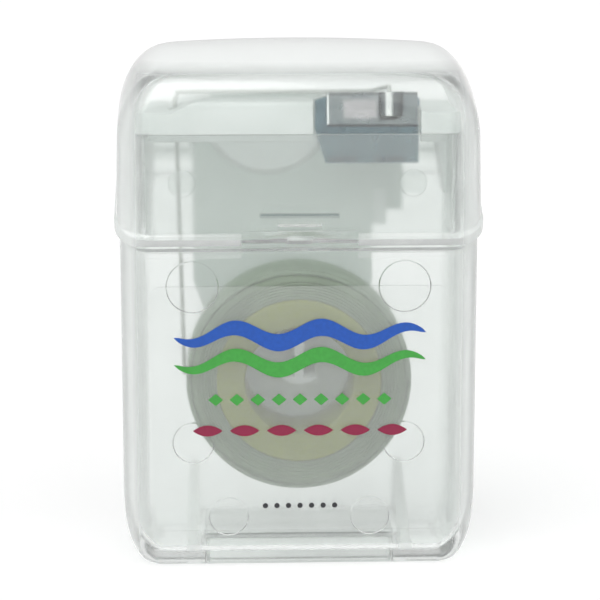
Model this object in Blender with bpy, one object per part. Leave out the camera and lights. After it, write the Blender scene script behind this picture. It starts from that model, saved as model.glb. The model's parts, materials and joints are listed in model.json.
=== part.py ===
"""Pocket dental floss dispenser.

A clear flip-top case holds a frosted fitment. The fitment carries a steel cutter and, on a post
that hangs from its tongue, a spool of waxed floss. Lengths are in metres, written as millimetres
times MM. The front of the case faces -Y and the case stands on Z = 0.
"""

import bpy
import bmesh
from math import ceil, cos, pi, sin, tau
from mathutils import Vector

MM = 0.001

# Clearances
SEAT_GAP = 0.3 * MM
FILM_GAP = 0.1 * MM
OVERRUN = 1.0 * MM
UNDERLAP = 0.05 * MM

# Case body
BODY_WIDTH = 34.8 * MM
BODY_DEPTH = 13.4 * MM
BODY_WALL = 1.0 * MM
BODY_CORNER = 2.7 * MM
FLOOR = 1.2 * MM
FLOOR_ROUND = 1.4 * MM
BASE_TAPER_HEIGHT = 7.4 * MM
BASE_SIDE_IN = 2.9 * MM
BASE_FRONT_IN = 1.1 * MM
BASE_SHARES = (
    (0.00, 1.00, 1.00),
    (0.05, 0.84, 0.50),
    (0.13, 0.68, 0.20),
    (0.25, 0.51, 0.03),
    (0.40, 0.34, 0.00),
    (0.58, 0.18, 0.00),
    (0.78, 0.05, 0.00),
    (1.00, 0.00, 0.00),
)

# Parting line, which climbs from the front to the hinge
PARTING_FRONT = 31.9 * MM
HINGE_HEIGHT = 40.0 * MM
PARTING_GAP = 0.36 * MM

# Neck, the part of the case body that stands inside the lid
NECK_SIDE_GAP = 1.1 * MM
NECK_FRONT_GAP = 0.4 * MM
NECK_WALL = 0.9 * MM
NECK_CORNER = 2.0 * MM
NECK_ABOVE_HINGE = 2.4 * MM
SHOULDER = 1.1 * MM

# Latch: a wedge on the neck and a catch inside the lid
LATCH_ABOVE_PARTING = 3.0 * MM
LATCH_RISE = 1.2 * MM
LATCH_WIDTH = 7.6 * MM
LATCH_TOP_WIDTH = 6.2 * MM
LATCH_CLEAR = 0.1 * MM
CATCH_WIDTH = 4.2 * MM
CATCH_OUT = 0.25 * MM
CATCH_RISE = 0.7 * MM
CATCH_BELOW_LATCH = 0.7 * MM

# Raised floor panel, hollow from below, and the two gussets beside it
PANEL_SIDE_IN = 7.3 * MM
PANEL_FRONT_IN = 2.0 * MM
PANEL_RISE = 1.7 * MM
PANEL_WALL = 0.7 * MM
GUSSET_FROM_PANEL = 0.4 * MM
GUSSET_TOP = 8.2 * MM
GUSSET_TOP_WIDTH = 0.8 * MM
GUSSET_FOOT_WIDTH = 1.3 * MM
GUSSET_FRONT_GAP = 0.9 * MM

# Lid
LID_SIDE_OUT = 0.5 * MM
LID_FRONT_OUT = 0.3 * MM
LID_WALL = 1.0 * MM
LID_BEAD_OUT = 0.2 * MM
LID_BEAD_HEIGHT = 0.9 * MM
LID_DRAFT = 0.15 * MM
LID_CORNER = 2.8 * MM
LID_HEADROOM = 5.6 * MM
ROOF_RADIUS = 16.0 * MM
ROOF_ARCH_RADIUS = 200.0 * MM
ROOF_APEX_BACK = 4.0 * MM
EDGE_IN = 3.0 * MM
EDGE_DROP_FRONT = 2.5 * MM
EDGE_DROP_BACK = 4.2 * MM
ROOF_RING_SHARES = (0.75, 0.5, 0.25)
TAB_WIDTH = 11.2 * MM
TAB_OUT = 1.0 * MM
TAB_HEIGHT = 1.5 * MM
TAB_TOP_OUT = 0.45 * MM

# Living hinge
WEB_SIDE_IN = 7.0 * MM
WEB_THICKNESS = 0.35 * MM
WEB_HEIGHT = 1.0 * MM

# Fitment: head, plug, end tab, finger well, tongue and post
HEAD_RISE = 3.0 * MM
HEAD_LEAN = 0.9 * MM
HEAD_END_ROUND = 0.4 * MM
DECK = 1.4 * MM
PLUG_WALL = 1.0 * MM
PLUG_LENGTH = 0.8 * MM
PLUG_CORNER = 1.2 * MM
WELL_RADIUS = 6.5 * MM
WELL_WALL = 0.9 * MM
WELL_END_WALL = 0.65 * MM
WELL_CENTRE_DROP = 0.9 * MM
WELL_BEHIND_LEG = 0.5 * MM
WELL_BACK_IN = 0.4 * MM
WELL_END_SHARES = ((0.0, 0.90), (0.07, 0.97), (0.18, 1.0), (0.82, 1.0), (0.93, 0.97), (1.0, 0.90))
GUIDE_FROM_END = 3.9 * MM
GUIDE_RADIUS = 0.7 * MM
GUIDE_LAND = 1.7 * MM
END_TAB_DEPTH = 5.0 * MM
END_TAB_REACH = 6.1 * MM
END_TAB_SHOULDER_DROP = 1.7 * MM
END_TAB_THICKNESS = 1.0 * MM
END_TAB_FOOT_THICKNESS = 0.3 * MM
RIB_RISE = 3.4 * MM
RIB_OUT = 0.5 * MM
TONGUE_THICKNESS = 1.0 * MM
TONGUE_LEFT_IN = 4.2 * MM
TONGUE_RIGHT_IN = 4.0 * MM
TONGUE_STEP_DROPS = (8.5 * MM, 10.0 * MM)
TONGUE_STEPS_IN = (1.6 * MM, 3.0 * MM)
TONGUE_TAPER_BELOW_STEP = 5.7 * MM
TONGUE_FOOT_HALF = 5.2 * MM
TONGUE_FOOT_BELOW_POST = 8.5 * MM
POST_RADIUS = 2.65 * MM
POST_WEB = 0.9 * MM
POST_FLANGE = 0.65 * MM
POST_POCKET_FLOOR = 1.2 * MM

# Cutter: one strip of steel folded over the front of the deck
STEEL = 0.3 * MM
CUTTER_FROM_END = 4.4 * MM
CUTTER_WIDTH = 8.7 * MM
CUTTER_FOOT_RISE = 0.7 * MM
CUTTER_TOP_RISE = 0.6 * MM
CUTTER_FOOT_BACK = 0.8 * MM
CUTTER_TOP_BACK = 2.05 * MM
CUTTER_LEG_BACK = 3.2 * MM
CUTTER_LEG_DROP = 3.1 * MM
CUTTER_EAR = 0.65 * MM
CUTTER_LEG_BEVEL = 1.0 * MM
CUTTER_BEVEL_DROP = 3.4 * MM
CUTTER_FOLD_IN = 0.35 * MM
TOOTH_FROM_EDGE = 1.6 * MM
TOOTH_REACH = 2.3 * MM
TOOTH_OUT = 0.7 * MM
TOOTH_STEEL = 0.2 * MM
TOOTH_NOTCH = 0.3 * MM
TOOTH_ROWS = 9
TOOTH_CURVED_SHARE = 0.45
TOOTH_REACH_SHARES = (0.0, 0.15, 0.45, 1.0)
TOOTH_SPAN_SHARES = (0.22, 0.92)
WINDOW_REACH = 2.0 * MM
WINDOW_SPAN_SHARES = (0.28, 0.86)

# Spool: core, wound floss and the floss that leaves it
SPOOL_X = 0.0 * MM
SPOOL_HEIGHT = 18.3 * MM
CORE_FRONT_ROOM = 1.15 * MM
CORE_BORE = 5.3 * MM
CORE_RADIUS = 8.1 * MM
CORE_ROUND = 0.25 * MM
CORE_END = 0.2 * MM
FLOSS_BUILD = 3.0 * MM
CAKE_SHOULDER = 0.9 * MM
FLOSS = 0.4 * MM
TURN_TUBE = 0.42 * MM
TURNS = 7
TURN_SIDES = 24
STRAND_STEP = 1.0 * MM
STRAND_TAIL = 1.5 * MM
STRAND_BEND = 0.9 * MM
STRAND_FROM_TOOTH = 1.1 * MM

# Clear label on the front
LABEL_SIDE_IN = 3.0 * MM
LABEL_BOTTOM = 3.8 * MM
LABEL_BELOW_PARTING = 3.7 * MM
LABEL_CORNER = 1.0 * MM
LABEL_FILM = 0.12 * MM

# Mesh fineness
CORNER_STEPS = 4
LONG_SIDE_STEPS = 6
SHORT_SIDE_STEPS = 2
EDGE_STEPS = 4
ROUND_SIDES = 40
SMALL_SIDES = 20
SMOOTH_ANGLE = 0.6

# Sizes worked out from those above. The thumb tab makes the object deeper in front,
# so the case's middle stands back by half of the tab.
CASE_Y = (TAB_OUT - UNDERLAP) / 2
BODY_HALF_X = BODY_WIDTH / 2
BODY_HALF_Y = BODY_DEPTH / 2
LID_HALF_X = BODY_HALF_X + LID_SIDE_OUT
LID_HALF_Y = BODY_HALF_Y + LID_FRONT_OUT
LID_INNER_X = LID_HALF_X - LID_WALL
LID_INNER_Y = LID_HALF_Y - LID_WALL
NECK_HALF_X = LID_INNER_X - NECK_SIDE_GAP
NECK_HALF_Y = LID_INNER_Y - NECK_FRONT_GAP
NECK_INNER_X = NECK_HALF_X - NECK_WALL
NECK_INNER_Y = NECK_HALF_Y - NECK_WALL
NECK_TOP = HINGE_HEIGHT + NECK_ABOVE_HINGE
HINGE_Y = CASE_Y + LID_HALF_Y
BODY_FRONT = CASE_Y - BODY_HALF_Y
LATCH_HEIGHT = PARTING_FRONT + LATCH_ABOVE_PARTING
LATCH_OUT = NECK_FRONT_GAP - LATCH_CLEAR
WEB_WIDTH = BODY_WIDTH - WEB_SIDE_IN * 2
PANEL_WIDTH = BODY_WIDTH - PANEL_SIDE_IN * 2
PANEL_DEPTH = BODY_DEPTH - PANEL_FRONT_IN * 2
LABEL_WIDTH = BODY_WIDTH - LABEL_SIDE_IN * 2
LABEL_TOP = PARTING_FRONT - LABEL_BELOW_PARTING
HEAD_HALF_Y = NECK_HALF_Y - SEAT_GAP
HEAD_BOTTOM = NECK_TOP + SEAT_GAP
HEAD_TOP = HEAD_BOTTOM + HEAD_RISE
LID_HEIGHT = HEAD_TOP + LID_HEADROOM
PLUG_HALF_X = NECK_INNER_X - SEAT_GAP
PLUG_HALF_Y = NECK_INNER_Y - SEAT_GAP
PLUG_BOTTOM = HEAD_BOTTOM - PLUG_LENGTH
END_TAB_FOOT = HEAD_BOTTOM - END_TAB_REACH
END_TAB_SHOULDER = HEAD_BOTTOM - END_TAB_SHOULDER_DROP
TONGUE_BACK = CASE_Y + PLUG_HALF_Y - UNDERLAP
TONGUE_FRONT = TONGUE_BACK - TONGUE_THICKNESS
TONGUE_LEFT = TONGUE_LEFT_IN - PLUG_HALF_X
TONGUE_RIGHT = PLUG_HALF_X - TONGUE_RIGHT_IN
TONGUE_STEP_HEIGHTS = tuple(HEAD_BOTTOM - drop for drop in TONGUE_STEP_DROPS)
TONGUE_STEP_X = tuple(TONGUE_RIGHT - inward for inward in TONGUE_STEPS_IN)
TONGUE_TAPER_HEIGHT = TONGUE_STEP_HEIGHTS[1] - TONGUE_TAPER_BELOW_STEP
RIB_TOP = TONGUE_STEP_HEIGHTS[1] + RIB_RISE
CUTTER_RIGHT = NECK_HALF_X - CUTTER_FROM_END
CUTTER_LEFT = CUTTER_RIGHT - CUTTER_WIDTH
CUTTER_FOOT = HEAD_BOTTOM + CUTTER_FOOT_RISE
CUTTER_TOP = HEAD_TOP + CUTTER_TOP_RISE
CUTTER_FOOT_Y = CASE_Y - HEAD_HALF_Y + CUTTER_FOOT_BACK
CUTTER_TOP_Y = CASE_Y - HEAD_HALF_Y + CUTTER_TOP_BACK
CUTTER_LEG_Y = CASE_Y - HEAD_HALF_Y + CUTTER_LEG_BACK
CUTTER_LEG_FOOT = HEAD_BOTTOM - CUTTER_LEG_DROP
TOOTH_X = CUTTER_RIGHT - TOOTH_FROM_EDGE
STRAND_TOP_X = TOOTH_X - STRAND_FROM_TOOTH
GUIDE_X = GUIDE_FROM_END - NECK_HALF_X
WELL_X = GUIDE_X + GUIDE_RADIUS + GUIDE_LAND + WELL_RADIUS
WELL_Z = HEAD_TOP - WELL_CENTRE_DROP
WELL_FRONT = CUTTER_LEG_Y + WELL_BEHIND_LEG
WELL_BACK = CASE_Y + PLUG_HALF_Y - WELL_BACK_IN
CORE_BACK = TONGUE_FRONT - SEAT_GAP
CORE_FRONT = BODY_FRONT + BODY_WALL + CORE_FRONT_ROOM
CORE_LENGTH = CORE_BACK - CORE_FRONT
SPOOL_MIDDLE = (CORE_FRONT + CORE_BACK) / 2
CAKE_RADIUS = CORE_RADIUS + FLOSS_BUILD
CAKE_LENGTH = CORE_LENGTH - CORE_END * 2
CAKE_PLAIN_RADIUS = CAKE_RADIUS - TURN_TUBE - SEAT_GAP
POST_X = SPOOL_X
POST_Z = SPOOL_HEIGHT + CORE_BORE - SEAT_GAP - POST_RADIUS


def parting_height(y):
    """Height of the parting plane, which passes through the hinge's axis."""
    front = CASE_Y - LID_HALF_Y
    return PARTING_FRONT + (HINGE_HEIGHT - PARTING_FRONT) * (y - front) / (HINGE_Y - front)


def body_rim(x, y):
    return parting_height(y) - PARTING_GAP / 2


def lid_rim(x, y):
    return parting_height(y) + PARTING_GAP / 2


def roof_height(x, y):
    """The roof's outer surface: domed from front to back and slightly arched from side to side."""
    back = y - CASE_Y - ROOF_APEX_BACK
    return LID_HEIGHT - back * back / (2 * ROOF_RADIUS) - x * x / (2 * ROOF_ARCH_RADIUS)


def edge_drop(y):
    """How far the roof's rounded edge reaches down, more at the back than in front."""
    share = (y - CASE_Y + LID_HALF_Y) / (2 * LID_HALF_Y)
    return EDGE_DROP_FRONT + (EDGE_DROP_BACK - EDGE_DROP_FRONT) * share


def clear_scene():
    for old in list(bpy.data.objects):
        bpy.data.objects.remove(old, do_unlink=True)


def material(name, colour, roughness, metallic=0.0, alpha=1.0):
    """A Principled material in the piece's own colour."""
    made = bpy.data.materials.new(name)
    made.use_nodes = True
    shader = made.node_tree.nodes["Principled BSDF"]
    shader.inputs["Base Color"].default_value = (*colour, 1.0)
    shader.inputs["Roughness"].default_value = roughness
    shader.inputs["Metallic"].default_value = metallic
    shader.inputs["Alpha"].default_value = alpha
    return made


def add_object(name, data, surface=None):
    made = bpy.data.objects.new(name, data)
    bpy.context.scene.collection.objects.link(made)
    if surface:
        data.materials.append(surface)
    return made


def mesh_object(name, bm, surface=None):
    """Turn a bmesh into an object with its faces pointing out and its flat faces kept flat."""
    bmesh.ops.recalc_face_normals(bm, faces=bm.faces)
    mesh = bpy.data.meshes.new(name)
    bm.to_mesh(mesh)
    bm.free()
    mesh.shade_smooth()
    mesh.set_sharp_from_angle(angle=SMOOTH_ANGLE)
    return add_object(name, mesh, surface)


def combine(target, tool, operation):
    """Join the tool to the target, or cut it away, and leave the tool as a hidden guide."""
    step = target.modifiers.new(tool.name, "BOOLEAN")
    step.operation = operation
    step.object = tool
    tool.hide_render = True
    tool.display_type = "WIRE"


def join(target, *tools):
    for tool in tools:
        combine(target, tool, "UNION")


def cut(target, *tools):
    for tool in tools:
        combine(target, tool, "DIFFERENCE")


def axis_empty(name, place):
    """An empty on a joint's axis, which the moving pieces are parented to."""
    empty = bpy.data.objects.new(name, None)
    bpy.context.scene.collection.objects.link(empty)
    empty.location = place
    return empty


def hang_on(empty, *pieces):
    for piece in pieces:
        piece.parent = empty
        piece.location = -empty.location


def rounded_ring(half_x, half_y, corner, height, shift_y=0.0):
    """Points of a rounded rectangle about the case's middle, seen from above, at one height or
    at height(x, y)."""
    flat_x, flat_y = half_x - corner, half_y - corner
    points = []
    quarters = ((1, 1, 0.0), (-1, 1, 0.5), (-1, -1, 1.0), (1, -1, 1.5))
    for index, (side_x, side_y, start) in enumerate(quarters):
        for step in range(CORNER_STEPS + 1):
            turn = (start + 0.5 * step / CORNER_STEPS) * pi
            points.append((side_x * flat_x + corner * cos(turn), side_y * flat_y + corner * sin(turn)))
        next_x, next_y, _ = quarters[(index + 1) % 4]
        steps = LONG_SIDE_STEPS if next_y == side_y else SHORT_SIDE_STEPS
        end = (start + 0.5) * pi
        first = (side_x * flat_x + corner * cos(end), side_y * flat_y + corner * sin(end))
        last = (next_x * flat_x + corner * cos(end), next_y * flat_y + corner * sin(end))
        for step in range(1, steps):
            share = step / steps
            points.append((first[0] + (last[0] - first[0]) * share,
                           first[1] + (last[1] - first[1]) * share))
    ring = []
    for x, y in points:
        world_y = y + CASE_Y + shift_y
        ring.append(Vector((x, world_y, height(x, world_y) if callable(height) else height)))
    return ring


def loft(name, rings, surface, domed=False):
    """Join rings of equally many points into one closed solid. Its two ends are flat, or where it
    is domed they are closed by a fan about a middle point."""
    bm = bmesh.new()
    rows = [[bm.verts.new(point) for point in ring] for ring in rings]
    count = len(rows[0])
    for low, high in zip(rows, rows[1:]):
        for index in range(count):
            after = (index + 1) % count
            bm.faces.new((low[index], low[after], high[after], high[index]))
    for row, ring in ((rows[0], rings[0]), (rows[-1], rings[-1])):
        if domed:
            middle = bm.verts.new(sum(ring, Vector()) / count)
            for index in range(count):
                bm.faces.new((middle, row[index], row[(index + 1) % count]))
        else:
            bm.faces.new(row)
    return mesh_object(name, bm, surface)


def prism(name, outline, start, end, along, surface=None):
    """Extrude an outline along X, Y or Z. Its points are the two other coordinates, in order."""
    bm = bmesh.new()

    def corner(point, depth):
        first, second = point
        places = {"X": (depth, first, second), "Y": (first, depth, second), "Z": (first, second, depth)}
        return bm.verts.new(places[along])

    near = [corner(point, start) for point in outline]
    far = [corner(point, end) for point in outline]
    bm.faces.new(near)
    bm.faces.new(far)
    for index in range(len(outline)):
        after = (index + 1) % len(outline)
        bm.faces.new((near[index], near[after], far[after], far[index]))
    return mesh_object(name, bm, surface)


def block(name, x_range, y_range, z_range):
    outline = [(x_range[0], z_range[0]), (x_range[1], z_range[0]), (x_range[1], z_range[1]),
               (x_range[0], z_range[1])]
    return prism(name, outline, y_range[0], y_range[1], "Y")


def circle(centre, radius, sides):
    return [(centre[0] + radius * cos(tau * step / sides), centre[1] + radius * sin(tau * step / sides))
            for step in range(sides)]


def turned(name, profile, surface):
    """Turn a closed profile of (radius, y) points about the spool's axis."""
    bm = bmesh.new()
    rows = []
    for step in range(ROUND_SIDES):
        turn = tau * step / ROUND_SIDES
        rows.append([bm.verts.new((SPOOL_X + radius * cos(turn), y, SPOOL_HEIGHT + radius * sin(turn)))
                     for radius, y in profile])
    for step in range(ROUND_SIDES):
        here, there = rows[step], rows[(step + 1) % ROUND_SIDES]
        for index in range(len(profile)):
            after = (index + 1) % len(profile)
            bm.faces.new((here[index], here[after], there[after], there[index]))
    return mesh_object(name, bm, surface)


def tube(name, points, diameter, sides_resolution, surface):
    """A round tube with filled ends along the points."""
    curve = bpy.data.curves.new(name, "CURVE")
    curve.dimensions = "3D"
    curve.bevel_depth = diameter / 2
    curve.bevel_resolution = sides_resolution
    curve.use_fill_caps = True
    spline = curve.splines.new("POLY")
    spline.points.add(len(points) - 1)
    for target, point in zip(spline.points, points):
        target.co = (*point, 1.0)
    return add_object(name, curve, surface)


def base_rings(half_x, half_y, corner, bottom, height, side_in, front_in):
    """Rings of a foot that draws in towards the bottom."""
    rings = []
    for height_share, side_share, front_share in BASE_SHARES:
        narrow = side_in * side_share
        rings.append(rounded_ring(half_x - narrow, half_y - front_in * front_share,
                                  corner - front_in * front_share * height_share,
                                  bottom + height * height_share))
    return rings


def make_case_body(surface):
    """The cup, its neck and latch wedge, the raised floor panel and the two gussets."""
    inner_x, inner_y = BODY_HALF_X - BODY_WALL, BODY_HALF_Y - BODY_WALL
    inner_corner = BODY_CORNER - BODY_WALL

    def under_shoulder(x, y):
        return body_rim(x, y) - SHOULDER

    outside = base_rings(BODY_HALF_X, BODY_HALF_Y, BODY_CORNER, 0.0, BASE_TAPER_HEIGHT,
                         BASE_SIDE_IN, BASE_FRONT_IN)
    neck = [
        rounded_ring(BODY_HALF_X, BODY_HALF_Y, BODY_CORNER, body_rim),
        rounded_ring(NECK_HALF_X, NECK_HALF_Y, NECK_CORNER, body_rim),
        rounded_ring(NECK_HALF_X, NECK_HALF_Y, NECK_CORNER, NECK_TOP),
        rounded_ring(NECK_INNER_X, NECK_INNER_Y, PLUG_CORNER, NECK_TOP),
        rounded_ring(NECK_INNER_X, NECK_INNER_Y, PLUG_CORNER, under_shoulder),
        rounded_ring(inner_x, inner_y, inner_corner, under_shoulder),
    ]
    inside = base_rings(inner_x, inner_y, inner_corner, FLOOR, BASE_TAPER_HEIGHT - FLOOR,
                        BASE_SIDE_IN, FLOOR_ROUND)
    body = loft("case_body", outside + neck + inside[::-1], surface)

    panel_x, panel_y = PANEL_WIDTH / 2, PANEL_DEPTH / 2
    panel_top = FLOOR + PANEL_RISE
    panel = block("floor_panel", (-panel_x, panel_x), (CASE_Y - panel_y, CASE_Y + panel_y),
                  (FLOOR - UNDERLAP * 2, panel_top))
    recess_x, recess_y = panel_x - PANEL_WALL, panel_y - PANEL_WALL
    recess = block("base_recess", (-recess_x, recess_x), (CASE_Y - recess_y, CASE_Y + recess_y),
                   (-OVERRUN, panel_top - PANEL_WALL))
    gussets = [make_gusset(side, panel_x, inner_y) for side in (-1, 1)]
    join(body, panel, *gussets, make_latch_wedge())
    cut(body, recess, hinge_notch("body_hinge_notch"))
    return body


def make_gusset(side, panel_x, inner_y):
    """A triangular rib from the back wall down to the floor, thicker at its foot."""
    middle = side * (panel_x + GUSSET_FROM_PANEL)
    back = CASE_Y + inner_y + BODY_WALL / 2
    front = CASE_Y - inner_y + GUSSET_FRONT_GAP
    foot = FLOOR / 2
    bm = bmesh.new()
    sides = []
    for edge in (-1, 1):
        top = bm.verts.new((middle + edge * GUSSET_TOP_WIDTH / 2, back, GUSSET_TOP))
        heel = bm.verts.new((middle + edge * GUSSET_FOOT_WIDTH / 2, back, foot))
        toe = bm.verts.new((middle + edge * GUSSET_FOOT_WIDTH / 2, front, foot))
        sides.append((top, heel, toe))
        bm.faces.new((top, heel, toe))
    for index in range(3):
        after = (index + 1) % 3
        bm.faces.new((sides[0][index], sides[0][after], sides[1][after], sides[1][index]))
    bmesh.ops.triangulate(bm, faces=bm.faces)
    return mesh_object("gusset_left" if side < 0 else "gusset_right", bm)


def make_latch_wedge():
    """A wedge on the neck's front: a ledge underneath, and flanks that narrow to its top."""
    face = CASE_Y - NECK_HALF_Y
    rows = ((LATCH_WIDTH / 2, face - LATCH_OUT, LATCH_HEIGHT),
            (LATCH_TOP_WIDTH / 2, face - UNDERLAP, LATCH_HEIGHT + LATCH_RISE),
            (LATCH_TOP_WIDTH / 2, face + NECK_WALL / 2, LATCH_HEIGHT + LATCH_RISE),
            (LATCH_WIDTH / 2, face + NECK_WALL / 2, LATCH_HEIGHT))
    bm = bmesh.new()
    left = [bm.verts.new((-half, y, z)) for half, y, z in rows]
    right = [bm.verts.new((half, y, z)) for half, y, z in rows]
    bm.faces.new(left)
    bm.faces.new(right)
    for index in range(len(rows)):
        after = (index + 1) % len(rows)
        bm.faces.new((left[index], left[after], right[after], right[index]))
    return mesh_object("latch_wedge", bm)


def hinge_notch(name):
    """Room for the hinge's web in the two back edges."""
    half = WEB_WIDTH / 2 + SEAT_GAP
    reach = WEB_HEIGHT / 2 + SEAT_GAP
    return block(name, (-half, half), (HINGE_Y - LID_WALL, HINGE_Y + OVERRUN),
                 (HINGE_HEIGHT - reach, HINGE_HEIGHT + reach))


def lid_skin(inset, roof_inset, rim_in):
    """Rings of one skin of the lid, from its rim up to the middle of its roof."""
    side_x, side_y = LID_HALF_X - LID_BEAD_OUT - inset, LID_HALF_Y - LID_BEAD_OUT - inset
    corner = LID_CORNER - inset

    def above_bead(x, y):
        return lid_rim(x, y) + LID_BEAD_HEIGHT

    def above_step(x, y):
        return above_bead(x, y) + LID_BEAD_OUT

    rings = []
    if rim_in:
        rings.append(rounded_ring(side_x, side_y, corner, lid_rim))
    else:
        rings.append(rounded_ring(LID_HALF_X, LID_HALF_Y, LID_CORNER, lid_rim))
        rings.append(rounded_ring(LID_HALF_X, LID_HALF_Y, LID_CORNER, above_bead))
    rings.append(rounded_ring(side_x, side_y, corner, above_step))
    top_x, top_y = side_x - LID_DRAFT, side_y - LID_DRAFT
    edge_in = EDGE_IN - roof_inset
    for step in range(EDGE_STEPS + 1):
        turn = 0.5 * pi * step / EDGE_STEPS
        drawn_in = edge_in * (1 - cos(turn))

        def edge_height(x, y, sunk=1 - sin(turn)):
            return roof_height(x, y) - roof_inset - edge_drop(y) * sunk

        rings.append(rounded_ring(top_x - drawn_in, top_y - drawn_in,
                                  max(corner - drawn_in, corner / 3), edge_height))
    roof_x, roof_y = top_x - edge_in, top_y - edge_in
    for share in ROOF_RING_SHARES:
        rings.append(rounded_ring(roof_x * share, roof_y * share, max(corner - edge_in, corner / 3) * share,
                                  lambda x, y: roof_height(x, y) - roof_inset))
    return rings


def make_lid(surface):
    """The hollow lid with its rim bead, thumb tab and catch."""
    outside = lid_skin(0.0, 0.0, False)
    inside = lid_skin(LID_WALL - LID_BEAD_OUT, LID_WALL, True)
    lid = loft("lid", outside[::-1] + inside, surface, domed=True)
    join(lid, make_thumb_tab(), make_catch())
    cut(lid, hinge_notch("lid_hinge_notch"))
    return lid


def make_thumb_tab():
    """A lip with a bowed front edge under the lid's front rim."""
    half = TAB_WIDTH / 2
    wall_y = CASE_Y - LID_HALF_Y + LID_WALL / 2
    low = lid_rim(0.0, CASE_Y - LID_HALF_Y)
    steps = LONG_SIDE_STEPS * 2
    bm = bmesh.new()
    rows = []
    for out, height in ((TAB_OUT, low), (TAB_OUT, low + TAB_HEIGHT / 2), (TAB_TOP_OUT, low + TAB_HEIGHT)):
        row = []
        for step in range(steps + 1):
            across = 2 * step / steps - 1
            bow = out * (1 - across * across)
            row.append(bm.verts.new((half * across, CASE_Y - LID_HALF_Y + UNDERLAP - bow, height)))
        row.append(bm.verts.new((half, wall_y, height)))
        row.append(bm.verts.new((-half, wall_y, height)))
        rows.append(row)
    count = len(rows[0])
    bm.faces.new(rows[0])
    bm.faces.new(rows[-1])
    for lower, upper in zip(rows, rows[1:]):
        for index in range(count):
            after = (index + 1) % count
            bm.faces.new((lower[index], lower[after], upper[after], upper[index]))
    return mesh_object("thumb_tab", bm)


def make_catch():
    """A small bead inside the lid's front that snaps under the latch wedge."""
    face = CASE_Y - LID_INNER_Y
    top = LATCH_HEIGHT - CATCH_BELOW_LATCH
    outline = [(face - LID_WALL / 2, top), (face - LID_WALL / 2, top - CATCH_RISE),
               (face, top - CATCH_RISE), (face + CATCH_OUT, top - CATCH_RISE / 2), (face, top)]
    return prism("catch_bead", outline, -CATCH_WIDTH / 2, CATCH_WIDTH / 2, "X")


def make_living_hinge(surface):
    """The thin web that joins the lid's back edge to the case's."""
    front = HINGE_Y - WEB_THICKNESS
    low, high = HINGE_HEIGHT - WEB_HEIGHT / 2, HINGE_HEIGHT + WEB_HEIGHT / 2
    outline = [(front, low), (HINGE_Y, low), (HINGE_Y, high), (front, high)]
    return prism("living_hinge", outline, -WEB_WIDTH / 2, WEB_WIDTH / 2, "X", surface)


def make_trough(name, radius, front, back, top):
    """A half-round trough about the finger well's axis, with its ends drawn in a little."""
    bm = bmesh.new()
    rows = []
    for length_share, radius_share in WELL_END_SHARES:
        y = front + (back - front) * length_share
        reach = radius * radius_share
        row = [bm.verts.new((WELL_X + reach * cos(pi + pi * step / SMALL_SIDES), y,
                             WELL_Z + reach * sin(pi + pi * step / SMALL_SIDES)))
               for step in range(SMALL_SIDES + 1)]
        row.append(bm.verts.new((WELL_X + reach, y, top)))
        row.append(bm.verts.new((WELL_X - reach, y, top)))
        rows.append(row)
    count = len(rows[0])
    bm.faces.new(rows[0])
    bm.faces.new(rows[-1])
    for near, far in zip(rows, rows[1:]):
        for index in range(count):
            after = (index + 1) % count
            bm.faces.new((near[index], near[after], far[after], far[index]))
    return mesh_object(name, bm)


def make_tongue():
    """The plate behind the spool, from the head down past the post."""
    foot = POST_Z - TONGUE_FOOT_BELOW_POST
    top = HEAD_TOP - DECK / 2
    step_high, step_low = TONGUE_STEP_HEIGHTS
    outline = [(TONGUE_LEFT, top), (TONGUE_LEFT, TONGUE_TAPER_HEIGHT), (POST_X - TONGUE_FOOT_HALF, foot),
               (POST_X + TONGUE_FOOT_HALF, foot), (TONGUE_STEP_X[1], TONGUE_TAPER_HEIGHT),
               (TONGUE_STEP_X[1], step_low), (TONGUE_STEP_X[0], step_low), (TONGUE_STEP_X[0], step_high),
               (TONGUE_RIGHT, step_high), (TONGUE_RIGHT, top)]
    return prism("tongue", outline, TONGUE_FRONT, TONGUE_BACK, "Y")


def make_end_tab():
    """A tab inside the neck's right end that thins towards its foot."""
    thick = PLUG_HALF_X - END_TAB_THICKNESS
    top = HEAD_TOP - DECK / 2
    outline = [(PLUG_HALF_X, top), (PLUG_HALF_X, END_TAB_FOOT),
               (PLUG_HALF_X - END_TAB_FOOT_THICKNESS, END_TAB_FOOT), (thick, END_TAB_SHOULDER), (thick, top)]
    return prism("end_tab", outline, CASE_Y - END_TAB_DEPTH / 2, CASE_Y + END_TAB_DEPTH / 2, "Y")


def make_tongue_rib():
    """A short rib on the tongue's front, over the column between its two steps."""
    right, left = TONGUE_STEP_X
    return block("tongue_rib", (left + UNDERLAP, right - UNDERLAP),
                 (TONGUE_FRONT - RIB_OUT, TONGUE_BACK - TONGUE_THICKNESS / 2),
                 (TONGUE_STEP_HEIGHTS[1] + UNDERLAP, RIB_TOP))


def make_post():
    """The spool's post: round outside, with a pocket on each side of a middle web."""
    front = CORE_FRONT + CORE_ROUND
    post = prism("post", circle((POST_X, POST_Z), POST_RADIUS, SMALL_SIDES), front,
                 TONGUE_BACK - TONGUE_THICKNESS / 2, "Y")
    reach = POST_RADIUS - POST_FLANGE
    pocket_depth = (front - OVERRUN, TONGUE_FRONT - POST_POCKET_FLOOR)
    for side, name in ((-1, "post_pocket_left"), (1, "post_pocket_right")):
        near = POST_X + side * POST_WEB / 2
        far = POST_X + side * (POST_RADIUS + OVERRUN)
        pocket_width = (min(near, far), max(near, far))
        cut(post, block(name, pocket_width, pocket_depth, (POST_Z - reach, POST_Z + reach)))
    return post


def plate_y(height):
    """Where the front face of the cutter's leaning plate is at a height."""
    share = (height - CUTTER_FOOT) / (CUTTER_TOP - CUTTER_FOOT)
    return CUTTER_FOOT_Y + (CUTTER_TOP_Y - CUTTER_FOOT_Y) * share


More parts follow.
